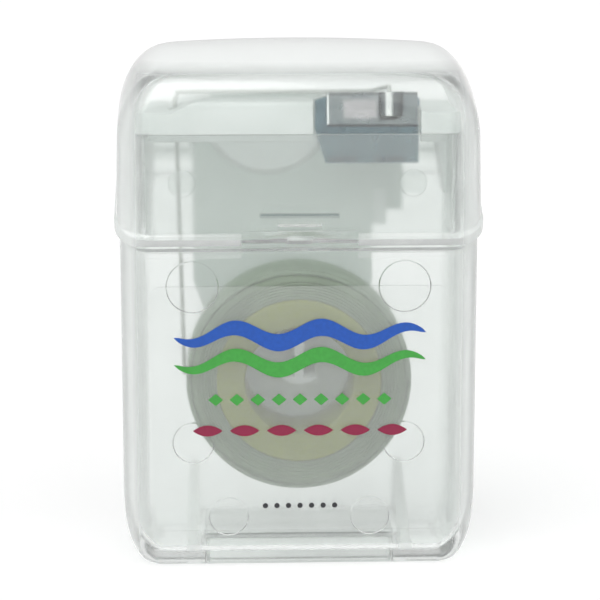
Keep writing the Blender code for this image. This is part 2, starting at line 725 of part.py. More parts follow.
def make_insert(surface):
    """Head, plug, end tab, finger well, tongue and post as one moulding."""
    lean = HEAD_LEAN / 2
    rings = [
        rounded_ring(NECK_HALF_X - HEAD_END_ROUND, HEAD_HALF_Y - lean - HEAD_END_ROUND,
                     NECK_CORNER - HEAD_END_ROUND, HEAD_TOP, lean),
        rounded_ring(NECK_HALF_X, HEAD_HALF_Y - lean, NECK_CORNER, HEAD_TOP - HEAD_END_ROUND, lean),
        rounded_ring(NECK_HALF_X, HEAD_HALF_Y, NECK_CORNER, HEAD_BOTTOM),
        rounded_ring(PLUG_HALF_X, PLUG_HALF_Y, PLUG_CORNER, HEAD_BOTTOM),
        rounded_ring(PLUG_HALF_X, PLUG_HALF_Y, PLUG_CORNER, PLUG_BOTTOM),
        rounded_ring(PLUG_HALF_X - PLUG_WALL, PLUG_HALF_Y - PLUG_WALL, PLUG_CORNER / 2, PLUG_BOTTOM),
        rounded_ring(PLUG_HALF_X - PLUG_WALL, PLUG_HALF_Y - PLUG_WALL, PLUG_CORNER / 2, HEAD_TOP - DECK),
    ]
    insert = loft("insert", rings, surface)
    trough = make_trough("well_trough", WELL_RADIUS, WELL_FRONT, WELL_BACK, HEAD_TOP - DECK / 2)
    join(insert, trough, make_end_tab(), make_tongue(), make_tongue_rib(), make_post())
    pocket = make_trough("well_pocket", WELL_RADIUS - WELL_WALL, WELL_FRONT + WELL_END_WALL,
                         WELL_BACK - WELL_END_WALL, HEAD_TOP + OVERRUN)
    guide = prism("guide_hole", circle((GUIDE_X, SPOOL_MIDDLE), GUIDE_RADIUS, SMALL_SIDES),
                  HEAD_TOP - DECK - OVERRUN, HEAD_TOP + OVERRUN, "Z")
    cut(insert, pocket, guide, make_cutter_recess(), make_leg_window(), make_leg_slot())
    return insert


def make_cutter_recess():
    """Takes the head's front back to a leaning seat behind the cutter's plate."""
    behind = STEEL + SEAT_GAP
    low = CUTTER_FOOT - SEAT_GAP
    high = HEAD_TOP + OVERRUN
    outline = [(BODY_FRONT, low), (plate_y(low) + behind, low), (plate_y(high) + behind, high),
               (BODY_FRONT, high)]
    return prism("cutter_recess", outline, CUTTER_LEFT - SEAT_GAP, CUTTER_RIGHT + SEAT_GAP, "X")


def make_leg_window():
    """Opens the front of the head and the plug below the plate, so that the rear leg shows there."""
    return block("leg_window", (CUTTER_LEFT - SEAT_GAP, CUTTER_RIGHT + SEAT_GAP),
                 (BODY_FRONT, CUTTER_LEG_Y - STEEL), (PLUG_BOTTOM - OVERRUN, CUTTER_FOOT))


def make_leg_slot():
    """Lets the cutter's rear leg pass down through the deck."""
    front = CUTTER_LEG_Y - STEEL - SEAT_GAP
    return block("leg_slot", (CUTTER_LEFT - CUTTER_EAR - SEAT_GAP, CUTTER_RIGHT + CUTTER_EAR + SEAT_GAP),
                 (front, CUTTER_LEG_Y + SEAT_GAP), (HEAD_TOP - DECK - OVERRUN, HEAD_TOP + OVERRUN))


def sheet_bmesh(rows):
    bm = bmesh.new()
    grid = [[bm.verts.new(point) for point in row] for row in rows]
    for low, high in zip(grid, grid[1:]):
        for index in range(len(low) - 1):
            bm.faces.new((low[index], low[index + 1], high[index + 1], high[index]))
    return bm


def thicken(piece, thickness, offset):
    step = piece.modifiers.new("thickness", "SOLIDIFY")
    step.thickness = thickness
    step.offset = offset
    step.use_even_offset = True


def make_cutter(surface):
    """A leaning front plate, a flat top and a rear leg, folded from one strip, with a raised tooth."""
    ear_left, ear_right = CUTTER_LEFT - CUTTER_EAR, CUTTER_RIGHT + CUTTER_EAR
    stations = [
        (plate_y(CUTTER_FOOT), CUTTER_FOOT, CUTTER_LEFT, CUTTER_RIGHT),
        (plate_y(CUTTER_TOP - CUTTER_FOLD_IN), CUTTER_TOP - CUTTER_FOLD_IN, CUTTER_LEFT, CUTTER_RIGHT),
        (CUTTER_TOP_Y + CUTTER_FOLD_IN, CUTTER_TOP, CUTTER_LEFT, CUTTER_RIGHT),
        (CUTTER_LEG_Y - CUTTER_FOLD_IN, CUTTER_TOP, CUTTER_LEFT, CUTTER_RIGHT),
        (CUTTER_LEG_Y, CUTTER_TOP - CUTTER_FOLD_IN, CUTTER_LEFT, CUTTER_RIGHT),
        (CUTTER_LEG_Y, CUTTER_TOP - CUTTER_FOLD_IN * 2, ear_left, ear_right),
        (CUTTER_LEG_Y, CUTTER_TOP - CUTTER_BEVEL_DROP, ear_left, ear_right),
        (CUTTER_LEG_Y, CUTTER_LEG_FOOT, ear_left + CUTTER_LEG_BEVEL, ear_right),
    ]
    rows = [[(left, y, z), (right, y, z)] for y, z, left, right in stations]
    strip = mesh_object("cutter", sheet_bmesh(rows), surface)
    thicken(strip, STEEL, -1.0)
    cut(strip, make_tooth_window())
    join(strip, make_tooth())
    return strip


def make_tooth_window():
    """The hole that the tooth was bent out of."""
    low, high = (CUTTER_FOOT + (CUTTER_TOP - CUTTER_FOOT) * share for share in WINDOW_SPAN_SHARES)
    outline = [(plate_y(low) - STEEL, low), (plate_y(low) + STEEL * 2, low),
               (plate_y(high) + STEEL * 2, high), (plate_y(high) - STEEL, high)]
    return prism("tooth_window", outline, TOOTH_X - WINDOW_REACH, TOOTH_X, "X")


def make_tooth():
    """A curled tongue of steel with a saw edge, open towards the floss's side."""
    low, high = (CUTTER_FOOT + (CUTTER_TOP - CUTTER_FOOT) * share for share in TOOTH_SPAN_SHARES)
    root = STEEL / 2
    rows = []
    for step in range(TOOTH_ROWS):
        height = low + (high - low) * step / (TOOTH_ROWS - 1)
        notch = TOOTH_NOTCH if step % 2 else 0.0
        row = []
        for share in TOOTH_REACH_SHARES:
            out = (TOOTH_OUT + root) * sin(0.5 * pi * min(share / TOOTH_CURVED_SHARE, 1.0))
            reach = TOOTH_REACH * share - (notch if share == 1.0 else 0.0)
            row.append((TOOTH_X + TOOTH_STEEL - reach, plate_y(height) + root - out, height))
        rows.append(row)
    tooth = mesh_object("tooth", sheet_bmesh(rows))
    thicken(tooth, TOOTH_STEEL, 0.0)
    return tooth


def make_core(surface):
    profile = [(CORE_BORE, CORE_FRONT + CORE_ROUND), (CORE_BORE + CORE_ROUND, CORE_FRONT),
               (CORE_RADIUS - CORE_ROUND, CORE_FRONT), (CORE_RADIUS, CORE_FRONT + CORE_ROUND),
               (CORE_RADIUS, CORE_BACK - CORE_ROUND), (CORE_RADIUS - CORE_ROUND, CORE_BACK),
               (CORE_BORE + CORE_ROUND, CORE_BACK), (CORE_BORE, CORE_BACK - CORE_ROUND)]
    return turned("spool_core", profile, surface)


def make_winding(surface):
    """The inner layers of floss as one plain ring with rounded shoulders."""
    front = SPOOL_MIDDLE - CAKE_LENGTH / 2
    back = front + CAKE_LENGTH
    bore = CORE_RADIUS + SEAT_GAP
    low = CAKE_PLAIN_RADIUS - CAKE_SHOULDER
    half = CAKE_SHOULDER * (1 - cos(pi / 4))
    profile = [(bore, front), (low, front), (CAKE_PLAIN_RADIUS - half, front + half),
               (CAKE_PLAIN_RADIUS, front + CAKE_SHOULDER), (CAKE_PLAIN_RADIUS, back - CAKE_SHOULDER),
               (CAKE_PLAIN_RADIUS - half, back - half), (low, back), (bore, back)]
    return turned("floss_winding", profile, surface)


def make_outer_turns(surface):
    """The outer layer of floss: one tube that winds from the front shoulder to the back one."""
    radius = CAKE_RADIUS - TURN_TUBE / 2
    span = CAKE_LENGTH - CAKE_SHOULDER - TURN_TUBE
    first = SPOOL_MIDDLE - span / 2
    count = TURNS * TURN_SIDES
    points = []
    for step in range(count + 1):
        turn = tau * step / TURN_SIDES
        points.append(Vector((SPOOL_X + radius * cos(turn), first + span * step / count,
                              SPOOL_HEIGHT + radius * sin(turn))))
    start = points[0] - (points[1] - points[0]).normalized() * TURN_TUBE
    finish = points[-1] + (points[-1] - points[-2]).normalized() * TURN_TUBE
    report_self_gap(points)
    return tube("floss_outer_turns", [start] + points + [finish], TURN_TUBE, 1, surface)


def report_self_gap(points):
    """Print the least gap between one turn and the next, measured on the tube's own points."""
    apart = TURN_SIDES // 2
    least = min((points[index] - points[other]).length
                for index in range(len(points)) for other in range(index + apart, len(points)))
    print(f"least gap of the outer turns to themselves: {(least - TURN_TUBE) / MM:.2f} mm")


def strand_route():
    """The strand's route by hand: up from the spool, through the guide hole, across the deck and
    the well, over the cutter and down behind its tooth."""
    left = SPOOL_X - CAKE_RADIUS - SEAT_GAP - FLOSS / 2
    over_deck = HEAD_TOP + SEAT_GAP + FLOSS / 2
    over_cutter = CUTTER_TOP + SEAT_GAP + FLOSS / 2
    front_gap = (TOOTH_OUT - TOOTH_STEEL / 2) / 2
    tail = CUTTER_TOP - STRAND_TAIL
    mid_height = (SPOOL_HEIGHT + HEAD_TOP) / 2
    return [Vector(place) for place in (
        (left, SPOOL_MIDDLE, SPOOL_HEIGHT),
        ((left + GUIDE_X) / 2, SPOOL_MIDDLE, mid_height),
        (GUIDE_X, SPOOL_MIDDLE, HEAD_TOP - DECK),
        (GUIDE_X, SPOOL_MIDDLE, HEAD_TOP - STRAND_BEND / 2),
        (GUIDE_X + STRAND_BEND / 3, SPOOL_MIDDLE, over_deck - STRAND_BEND / 6),
        (GUIDE_X + STRAND_BEND, SPOOL_MIDDLE, over_deck),
        (WELL_X, SPOOL_MIDDLE, over_deck),
        (STRAND_TOP_X - STRAND_BEND * 3, SPOOL_MIDDLE, over_deck),
        (STRAND_TOP_X - STRAND_BEND, SPOOL_MIDDLE - STRAND_BEND / 2, (over_deck + over_cutter) / 2),
        (STRAND_TOP_X, CUTTER_LEG_Y, over_cutter),
        (STRAND_TOP_X, CUTTER_TOP_Y + CUTTER_FOLD_IN, over_cutter),
        (STRAND_TOP_X, plate_y(CUTTER_TOP) - front_gap, CUTTER_TOP),
        (STRAND_TOP_X, plate_y(tail) - front_gap, tail),
    )]


def smooth_points(route, step_length):
    """Points of a Catmull-Rom curve through the route, about one step apart."""
    padded = [route[0] * 2 - route[1]] + route + [route[-1] * 2 - route[-2]]
    points = [route[0]]
    for before, here, there, beyond in zip(padded, padded[1:], padded[2:], padded[3:]):
        steps = max(1, ceil((there - here).length / step_length))
        for step in range(1, steps + 1):
            t = step / steps
            points.append(0.5 * (2 * here + (there - before) * t
                                 + (2 * before - 5 * here + 4 * there - beyond) * t ** 2
                                 + (3 * here - before - 3 * there + beyond) * t ** 3))
    return points


def make_strand(surface):
    points = smooth_points(strand_route(), STRAND_STEP)
    return tube("floss_strand", points, FLOSS, 2, surface)


def make_label(surface):
    """The clear film on the case's front."""
    right, high = LABEL_WIDTH / 2 - LABEL_CORNER, LABEL_TOP - LABEL_CORNER
    low = LABEL_BOTTOM + LABEL_CORNER
    outline = []
    for quarter, (x, z) in enumerate(((right, high), (-right, high), (-right, low), (right, low))):
        for step in range(CORNER_STEPS + 1):
            turn = (quarter + step / CORNER_STEPS) * pi / 2
            outline.append((x + LABEL_CORNER * cos(turn), z + LABEL_CORNER * sin(turn)))
    front = BODY_FRONT - FILM_GAP - LABEL_FILM
    return prism("front_label", outline, front, front + LABEL_FILM, "Y", surface)


def main():
    clear_scene()
    clear = material("clear_plastic", (0.86, 0.89, 0.87), 0.08, alpha=0.3)
    lid_clear = material("clear_lid_plastic", (0.86, 0.89, 0.87), 0.08, alpha=0.3)
    web = material("hinge_plastic", (0.88, 0.90, 0.88), 0.2, alpha=0.4)
    frosted = material("frosted_plastic", (0.84, 0.87, 0.84), 0.45, alpha=0.7)
    steel = material("cutter_steel", (0.55, 0.58, 0.60), 0.25, metallic=1.0)
    core = material("core_card", (0.62, 0.61, 0.42), 0.7)
    floss = material("wound_floss", (0.42, 0.47, 0.38), 0.6)
    turns = material("outer_floss", (0.45, 0.50, 0.41), 0.5)
    strand = material("strand_floss", (0.62, 0.66, 0.60), 0.5)
    film = material("label_film", (0.92, 0.93, 0.92), 0.15, alpha=0.2)

    make_case_body(clear)
    make_insert(frosted)
    make_cutter(steel)
    make_living_hinge(web)
    make_strand(strand)
    make_label(film)

    hinge = axis_empty("lid_hinge_axis", Vector((0.0, HINGE_Y, HINGE_HEIGHT)))
    lid = make_lid(lid_clear)
    hang_on(hinge, lid, *[step.object for step in lid.modifiers])

    spool = axis_empty("spool_axis", Vector((SPOOL_X, SPOOL_MIDDLE, SPOOL_HEIGHT)))
    hang_on(spool, make_core(core), make_winding(floss), make_outer_turns(turns))


main()
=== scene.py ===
"""Looks of the pocket dental floss dispenser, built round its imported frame.

Lengths are in metres, written as millimetres times MM. The front of the case faces -Y and the case
stands on Z = 0. What the frame gives is read from it, and other sizes repeat the solids' sizes. A
few shapes are finer than the solids': the lid's upper side edges, the base's corners, the head's
lowered ends, the neck's rim, and the cutter's rear leg with the opening beside its plate.
"""

import json
from collections import namedtuple
from math import ceil, cos, hypot, pi, radians, sin, tau

import bmesh
import bpy
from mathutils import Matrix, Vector


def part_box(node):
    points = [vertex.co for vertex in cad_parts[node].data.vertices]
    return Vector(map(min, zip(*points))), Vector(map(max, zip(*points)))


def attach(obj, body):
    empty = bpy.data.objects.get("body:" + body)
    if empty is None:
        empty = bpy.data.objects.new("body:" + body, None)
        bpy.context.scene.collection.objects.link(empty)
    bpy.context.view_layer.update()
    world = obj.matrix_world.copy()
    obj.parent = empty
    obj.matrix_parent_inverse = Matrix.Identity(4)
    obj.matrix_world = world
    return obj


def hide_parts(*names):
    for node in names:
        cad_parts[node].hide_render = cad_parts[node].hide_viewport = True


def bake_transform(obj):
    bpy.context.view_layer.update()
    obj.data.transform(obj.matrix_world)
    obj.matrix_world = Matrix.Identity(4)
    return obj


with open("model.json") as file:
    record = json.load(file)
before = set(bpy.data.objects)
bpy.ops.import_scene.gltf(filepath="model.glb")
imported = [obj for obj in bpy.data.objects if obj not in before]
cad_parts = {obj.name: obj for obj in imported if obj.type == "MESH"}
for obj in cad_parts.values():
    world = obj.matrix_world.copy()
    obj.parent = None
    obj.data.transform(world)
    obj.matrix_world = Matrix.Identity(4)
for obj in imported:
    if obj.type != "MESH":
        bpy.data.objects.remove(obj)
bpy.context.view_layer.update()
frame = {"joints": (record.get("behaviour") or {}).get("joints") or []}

MM = 0.001

# Places read from the frame
joints = {joint["name"]: joint for joint in frame["joints"]}
HINGE = Vector(joints["lid_hinge"]["pos_m"])
SPOOL = Vector(joints["spool_spin"]["pos_m"])
body_low, body_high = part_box("case_body")
lid_low, lid_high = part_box("lid")
label_low, label_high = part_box("front_label")
core_low, core_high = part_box("spool_core")
CASE_Y = (body_low.y + body_high.y) / 2
BODY_HALF_X = (body_high.x - body_low.x) / 2
BODY_HALF_Y = (body_high.y - body_low.y) / 2
LID_HALF_X = (lid_high.x - lid_low.x) / 2
LID_HALF_Y = HINGE.y - CASE_Y
LID_HEIGHT = lid_high.z
HEAD_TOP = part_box("insert")[1].z
CUTTER_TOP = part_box("cutter")[1].z

# Clearances
SEAT_GAP = 0.3 * MM
OVERRUN = 1.0 * MM
UNDERLAP = 0.05 * MM
HAIR = 0.02 * MM

# Case body
BODY_WALL = 1.0 * MM
BODY_CORNER = 2.7 * MM
FLOOR = 1.2 * MM
FLOOR_ROUND = 1.4 * MM
BASE_TAPER_HEIGHT = 7.4 * MM
BASE_SIDE_IN = 2.9 * MM
BASE_FRONT_IN = 1.1 * MM
# How far the foot has risen and how far its sides and its front and back are still drawn in
BASE_SHARES = (
    (0.00, 1.00, 1.00),
    (0.05, 0.72, 0.50),
    (0.13, 0.53, 0.20),
    (0.25, 0.36, 0.03),
    (0.40, 0.20, 0.00),
    (0.58, 0.09, 0.00),
    (0.78, 0.03, 0.00),
    (1.00, 0.00, 0.00),
)
BASE_CORNER_SHARE = 0.4
EDGE_ROUND = 0.25 * MM
RIM_ROUND = 0.1 * MM
FOOT_ROUND = 0.3 * MM
PARTING_GAP = 0.36 * MM
PARTING_FRONT = lid_low.z - PARTING_GAP / 2
BODY_RIM = PARTING_FRONT - PARTING_GAP / 2
LID_RIM = PARTING_FRONT + PARTING_GAP / 2
SHOULDER = 1.1 * MM

# Neck, latch, floor panel and gussets
NECK_HALF_X = BODY_HALF_X - 1.6 * MM
NECK_HALF_Y = BODY_HALF_Y - 1.1 * MM
NECK_WALL = 0.9 * MM
NECK_CORNER = 2.0 * MM
NECK_BAND = 0.8 * MM
LATCH_HEIGHT = PARTING_FRONT + 3.0 * MM
LATCH_RISE = 1.2 * MM
LATCH_WIDTH = 7.6 * MM
LATCH_TOP_WIDTH = 6.2 * MM
LATCH_OUT = 0.3 * MM
CATCH_WIDTH = 4.2 * MM
CATCH_OUT = 0.25 * MM
CATCH_RISE = 0.7 * MM
CATCH_BELOW_LATCH = 0.7 * MM
PANEL_WIDTH = 20.2 * MM
PANEL_DEPTH = 9.4 * MM
PANEL_RISE = 1.7 * MM
PANEL_WALL = 0.7 * MM
PANEL_CORNER = 0.6 * MM
PANEL_FLAT_IN = 2.0 * MM
GUSSET_MIDDLE = 10.5 * MM
GUSSET_TOP = 8.2 * MM
GUSSET_TOP_WIDTH = 0.8 * MM
GUSSET_FOOT_WIDTH = 1.3 * MM
GUSSET_FRONT_GAP = 0.9 * MM

# Round pin marks on the inner face of the front walls: x, z and radius
MARK_DEPTH = 0.1 * MM
MARK_FLANK = 0.12 * MM
BODY_MARKS = (
    (-10.4 * MM, 28.0 * MM, 2.45 * MM),
    (10.2 * MM, 28.0 * MM, 2.45 * MM),
    (-10.4 * MM, 12.5 * MM, 1.95 * MM),
    (10.2 * MM, 12.5 * MM, 1.95 * MM),
    (-7.0 * MM, 5.0 * MM, 1.85 * MM),
    (6.9 * MM, 5.0 * MM, 1.85 * MM),
)
LID_MARKS = ((-11.3 * MM, 38.1 * MM, 1.2 * MM), (10.9 * MM, 38.1 * MM, 1.2 * MM))
LID_MARK_DEPTH = 0.05 * MM

# Lid
LID_WALL = 1.0 * MM
LID_BEAD_OUT = 0.2 * MM
LID_BEAD_HEIGHT = 0.9 * MM
LID_DRAFT = 0.15 * MM
LID_CORNER = 2.8 * MM
ROOF_RADIUS = 16.0 * MM
ROOF_ARCH_RADIUS = 200.0 * MM
ROOF_APEX_BACK = 4.0 * MM
EDGE_IN = 3.0 * MM
EDGE_DROP_FRONT = 2.5 * MM
EDGE_DROP_BACK = 4.2 * MM
EDGE_SIDE_IN = 5.2 * MM
EDGE_DROP_SIDE = 6.2 * MM
EDGE_SIDE_FROM = 9.0 * MM
LEAST_CORNER_SHARE = 1 / 3
ROOF_RINGS = 10
TAB_WIDTH = 11.2 * MM
TAB_OUT = 1.0 * MM
TAB_HEIGHT = 1.5 * MM
TAB_TOP_OUT = 0.45 * MM
TAB_EDGE = 0.3 * MM

# Living hinge
WEB_WIDTH = 20.8 * MM
WEB_HEIGHT = 1.0 * MM
WEB_THIN = 0.3 * MM
WEB_THICK = 0.9 * MM
WEB_STEPS = 20

# Fitment
HEAD_RISE = 3.0 * MM
HEAD_BOTTOM = HEAD_TOP - HEAD_RISE
HEAD_HALF_Y = NECK_HALF_Y - SEAT_GAP
HEAD_LEAN = 0.9 * MM
HEAD_END_ROUND = 0.4 * MM
HEAD_FLAT_IN = 2.2 * MM
HEAD_SHOULDER_DROP = 1.1 * MM
HEAD_SHOULDER_WIDTH = 3.5 * MM
HEAD_RAMP = 2.5 * MM
HEAD_SEAM_ROUND = 0.06 * MM
DECK = 1.4 * MM
PLUG_HALF_X = NECK_HALF_X - NECK_WALL - SEAT_GAP
PLUG_HALF_Y = NECK_HALF_Y - NECK_WALL - SEAT_GAP
PLUG_WALL = 1.0 * MM
PLUG_LENGTH = 0.8 * MM
PLUG_CORNER = 1.2 * MM
WELL_RADIUS = 6.5 * MM
WELL_WALL = 0.9 * MM
WELL_END_WALL = 0.65 * MM
WELL_CENTRE_DROP = 0.9 * MM
# Along the well's trough, and how much of its radius it has there
WELL_END_SHARES = ((0.0, 0.90), (0.04, 0.95), (0.09, 0.98), (0.18, 1.0), (0.82, 1.0), (0.91, 0.98),
                   (0.96, 0.95), (1.0, 0.90))
GUIDE_RADIUS = 0.7 * MM
GUIDE_X = 3.9 * MM - NECK_HALF_X
WELL_X = GUIDE_X + GUIDE_RADIUS + 1.7 * MM + WELL_RADIUS
WELL_Z = HEAD_TOP - WELL_CENTRE_DROP
END_TAB_DEPTH = 5.0 * MM
END_TAB_FOOT = HEAD_BOTTOM - 6.1 * MM
END_TAB_SHOULDER = HEAD_BOTTOM - 1.7 * MM
END_TAB_THICKNESS = 1.0 * MM
END_TAB_FOOT_THICKNESS = 0.3 * MM
TONGUE_THICKNESS = 1.0 * MM
TONGUE_BACK = CASE_Y + PLUG_HALF_Y - UNDERLAP
TONGUE_FRONT = TONGUE_BACK - TONGUE_THICKNESS
TONGUE_LEFT = 4.2 * MM - PLUG_HALF_X
TONGUE_RIGHT = PLUG_HALF_X - 4.0 * MM
TONGUE_STEP_HEIGHTS = (HEAD_BOTTOM - 8.5 * MM, HEAD_BOTTOM - 10.0 * MM)
TONGUE_STEP_X = (TONGUE_RIGHT - 1.6 * MM, TONGUE_RIGHT - 3.0 * MM)
TONGUE_TAPER_HEIGHT = TONGUE_STEP_HEIGHTS[1] - 5.7 * MM
TONGUE_FOOT_HALF = 5.2 * MM
TONGUE_FOOT_BELOW_POST = 8.5 * MM
RIB_TOP = TONGUE_STEP_HEIGHTS[1] + 3.4 * MM
RIB_OUT = 0.5 * MM
CORE_BORE = 5.3 * MM
POST_RADIUS = 2.65 * MM
POST_WEB = 0.9 * MM
POST_FLANGE = 0.65 * MM
POST_POCKET_FLOOR = 1.2 * MM
POST_X = SPOOL.x
POST_Z = SPOOL.z + CORE_BORE - SEAT_GAP - POST_RADIUS

# Cutter
STEEL = 0.3 * MM
CUTTER_RIGHT = NECK_HALF_X - 4.4 * MM
CUTTER_LEFT = CUTTER_RIGHT - 8.7 * MM
CUTTER_FOOT = HEAD_BOTTOM + 0.7 * MM
CUTTER_FOOT_Y = CASE_Y - HEAD_HALF_Y + 0.8 * MM
CUTTER_TOP_Y = CASE_Y - HEAD_HALF_Y + 2.05 * MM
CUTTER_LEG_Y = CASE_Y - HEAD_HALF_Y + 3.2 * MM
CUTTER_LEG_FOOT = HEAD_BOTTOM - 3.1 * MM
EAR_LEFT = 1.1 * MM
EAR_RIGHT = 0.25 * MM
CUTTER_LEG_BEVEL = 1.0 * MM
CUTTER_BEVEL_DROP = 3.4 * MM
CUTTER_FOLD = 0.35 * MM
TOOTH_X = CUTTER_RIGHT - 1.6 * MM
TOOTH_REACH = 2.3 * MM
TOOTH_OUT = 0.7 * MM
TOOTH_STEEL = 0.2 * MM
TOOTH_NOTCH = 0.3 * MM
TOOTH_ROWS = 17
TOOTH_COLUMNS = 12
TOOTH_CURVED_SHARE = 0.45
TOOTH_SPAN_SHARES = (0.34, 1.04)
TOOTH_LOW = CUTTER_FOOT + (CUTTER_TOP - CUTTER_FOOT) * TOOTH_SPAN_SHARES[0]
# Where the tooth's painted highlight line starts, is full, fades and ends
TOOTH_HIGHLIGHT_SHARES = (0.2, 0.3, 0.45, 0.6)
BARB_WIDTH = 2.8 * MM
BARB_RISE = 0.7 * MM
BARB_OUT = 0.2 * MM
BARB_ABOVE_FOOT = 0.15 * MM
BARB_FROM_LEFT = (0.1 * MM, 4.7 * MM)
PATCH_X = (CUTTER_LEFT + 1.4 * MM, CUTTER_LEFT + 5.0 * MM)
PATCH_Z = (CUTTER_FOOT + 0.5 * MM, CUTTER_TOP - 0.35 * MM)
PATCH_BLUR = 0.35 * MM
# Width of the painted highlight at the plate's left end and of the painted shade along its foot
EDGE_BAND = 0.11 * MM
WINDOW_REACH = 2.0 * MM
WINDOW_SPAN_SHARES = (0.28, 0.86)
WELL_FRONT = CUTTER_LEG_Y + 0.5 * MM
WELL_BACK = CASE_Y + PLUG_HALF_Y - 0.4 * MM

# Spool and floss
CORE_RADIUS = 8.1 * MM
CORE_ROUND = 0.25 * MM
CAKE_RADIUS = 11.1 * MM
CAKE_LENGTH = 7.2 * MM
CAKE_SHOULDER = 0.9 * MM
CAKE_BORE_GAP = 0.06 * MM
LAYER = 0.3 * MM
LAYER_RELIEF = 0.07 * MM
LAYER_STEPS = 6
TURN_TUBE = 0.4 * MM
TURN_PITCH = 0.415 * MM
TURNS = 16
TURN_POINTS = 96
TURN_SIDES = 8
TURN_WANDER = 0.05 * MM
# Waves in each turn, their share and their start
WANDER_WAVES = ((3, 1.0, 0.0), (7, 0.6, 1.0))
FLOSS = 0.4 * MM
STRAND_FROM_TOOTH = 1.1 * MM
STRAND_TAIL = 1.5 * MM
STRAND_BEND = 0.9 * MM
STRAND_STEP = 0.35 * MM
STRAND_SIDES = 12

# Label and its printed pattern
LABEL_CORNER = 1.0 * MM
INK = 0.02 * MM

# Mesh fineness
CORNER_STEPS = 12
LONG_STEPS = 24
SHORT_STEPS = 8
ROUND_STEPS = 5
EDGE_STEPS = 12
BASE_STEPS = 4
TURNED_SIDES = 144
HOLE_SIDES = 48
SMOOTH_ANGLE = 0.6
FACE_WEIGHT = 100
MOST_ROUND_SHARE = 0.5

SIDES = ((-1, "left"), (1, "right"))

# Camera, fitted to the photograph
CAMERA_DISTANCE = 215.0 * MM
CAMERA_ELEVATION = radians(11.0)
CAMERA_YAW = radians(-2.0)
CAMERA_AIM = 25.5 * MM
CAMERA_SIDE = 0.235 * MM
CAMERA_LENS = 129.4
CLIP_START_SHARE = 0.01


# Shapes

Station = namedtuple("Station", "half_x half_y corner z follow shift radius", defaults=(0.0, 0.0, 0.0))


def shares(steps):
    return [step / steps for step in range(steps + 1)]


def from_side_to_side(steps):
    """Even places from -1 to 1."""
    return [2 * step / steps - 1 for step in range(steps + 1)]


def quarter_turns(steps):
    return [0.5 * pi * step / steps for step in range(steps + 1)]


def climb(y):
    """How much higher the parting plane is at y than at the lid's front."""
    front = CASE_Y - LID_HALF_Y
    return (HINGE.z - PARTING_FRONT) * (y - front) / (HINGE.y - front)


def roof_height(x, y):
    """The roof's outer surface: domed from front to back and slightly arched from side to side."""
    back = y - CASE_Y - ROOF_APEX_BACK
    return LID_HEIGHT - back * back / (2 * ROOF_RADIUS) - x * x / (2 * ROOF_ARCH_RADIUS)


def edge_drop(x, y):
    """How far the roof's rounded edge reaches down: more at the back than in front, most at the sides."""
    back = (y - CASE_Y + LID_HALF_Y) / (2 * LID_HALF_Y)
    drop = EDGE_DROP_FRONT + (EDGE_DROP_BACK - EDGE_DROP_FRONT) * back
    side = min(max((abs(x) - EDGE_SIDE_FROM) / (LID_HALF_X - EDGE_SIDE_FROM), 0.0), 1.0)
    return drop + (EDGE_DROP_SIDE - drop) * side * side * (3 - 2 * side)


def rounded_ring(half_x, half_y, corner, height, shift_y=0.0):
    """Points of a rounded rectangle about the case's middle, seen from above, each at height(x, y)."""
    flat_x, flat_y = half_x - corner, half_y - corner
    quarters = ((1, 1, 0.0), (-1, 1, 0.5), (-1, -1, 1.0), (1, -1, 1.5))
    points = []
    for index, (side_x, side_y, start) in enumerate(quarters):
        for step in range(CORNER_STEPS + 1):
            turn = (start + 0.5 * step / CORNER_STEPS) * pi
            points.append((side_x * flat_x + corner * cos(turn), side_y * flat_y + corner * sin(turn)))
        next_x, next_y, _ = quarters[(index + 1) % 4]
        steps = LONG_STEPS if next_y == side_y else SHORT_STEPS
        end = (start + 0.5) * pi
        first = Vector((side_x * flat_x + corner * cos(end), side_y * flat_y + corner * sin(end)))
        last = Vector((next_x * flat_x + corner * cos(end), next_y * flat_y + corner * sin(end)))
        points += [tuple(first.lerp(last, step / steps)) for step in range(1, steps)]
    ring = []
    for x, y in points:
        world_y = y + CASE_Y + shift_y
        ring.append(Vector((x, world_y, height(x, world_y))))
    return ring


def mixed(first, second, share):
    return Station(*(a + (b - a) * share for a, b in zip(first, second)))


def apart(first, second):
    """How far apart two stations of a profile are, measured at the front."""
    return hypot(first.half_y - second.half_y, first.z - second.z)


def softened(stations):
    """The stations with each corner of the profile rounded by its own radius."""
    made = [stations[0]]
    for before, here, after in zip(stations, stations[1:], stations[2:]):
        if here.radius == 0.0:
            made.append(here)
            continue
        start = mixed(here, before, min(MOST_ROUND_SHARE, here.radius / apart(here, before)))
        end = mixed(here, after, min(MOST_ROUND_SHARE, here.radius / apart(here, after)))
        made += [mixed(mixed(start, here, share), mixed(here, end, share), share)
                 for share in shares(ROUND_STEPS)]
    made.append(stations[-1])
    return made


def station_rings(stations):
    def ring(station):
        def height(x, y):
            return station.z + station.follow * climb(y)
        return rounded_ring(station.half_x, station.half_y, station.corner, height, station.shift)
    return [ring(station) for station in softened(stations)]


def add_object(name, data, surface=None):
    made = bpy.data.objects.new(name, data)
    bpy.context.scene.collection.objects.link(made)
    if surface:
        data.materials.append(surface)
    return made


def shade(mesh):
    mesh.shade_smooth()
    mesh.set_sharp_from_angle(angle=SMOOTH_ANGLE)


def even_normals(piece):
    """Let the large faces set the shading, so that flat walls stay flat up to their rounded edges."""
    step = piece.modifiers.new("even_normals", "WEIGHTED_NORMAL")
    step.keep_sharp = True
    step.weight = FACE_WEIGHT


def mesh_object(name, bm, surface=None):
    bmesh.ops.recalc_face_normals(bm, faces=bm.faces)
    mesh = bpy.data.meshes.new(name)
    bm.to_mesh(mesh)
    bm.free()
    shade(mesh)
    return add_object(name, mesh, surface)


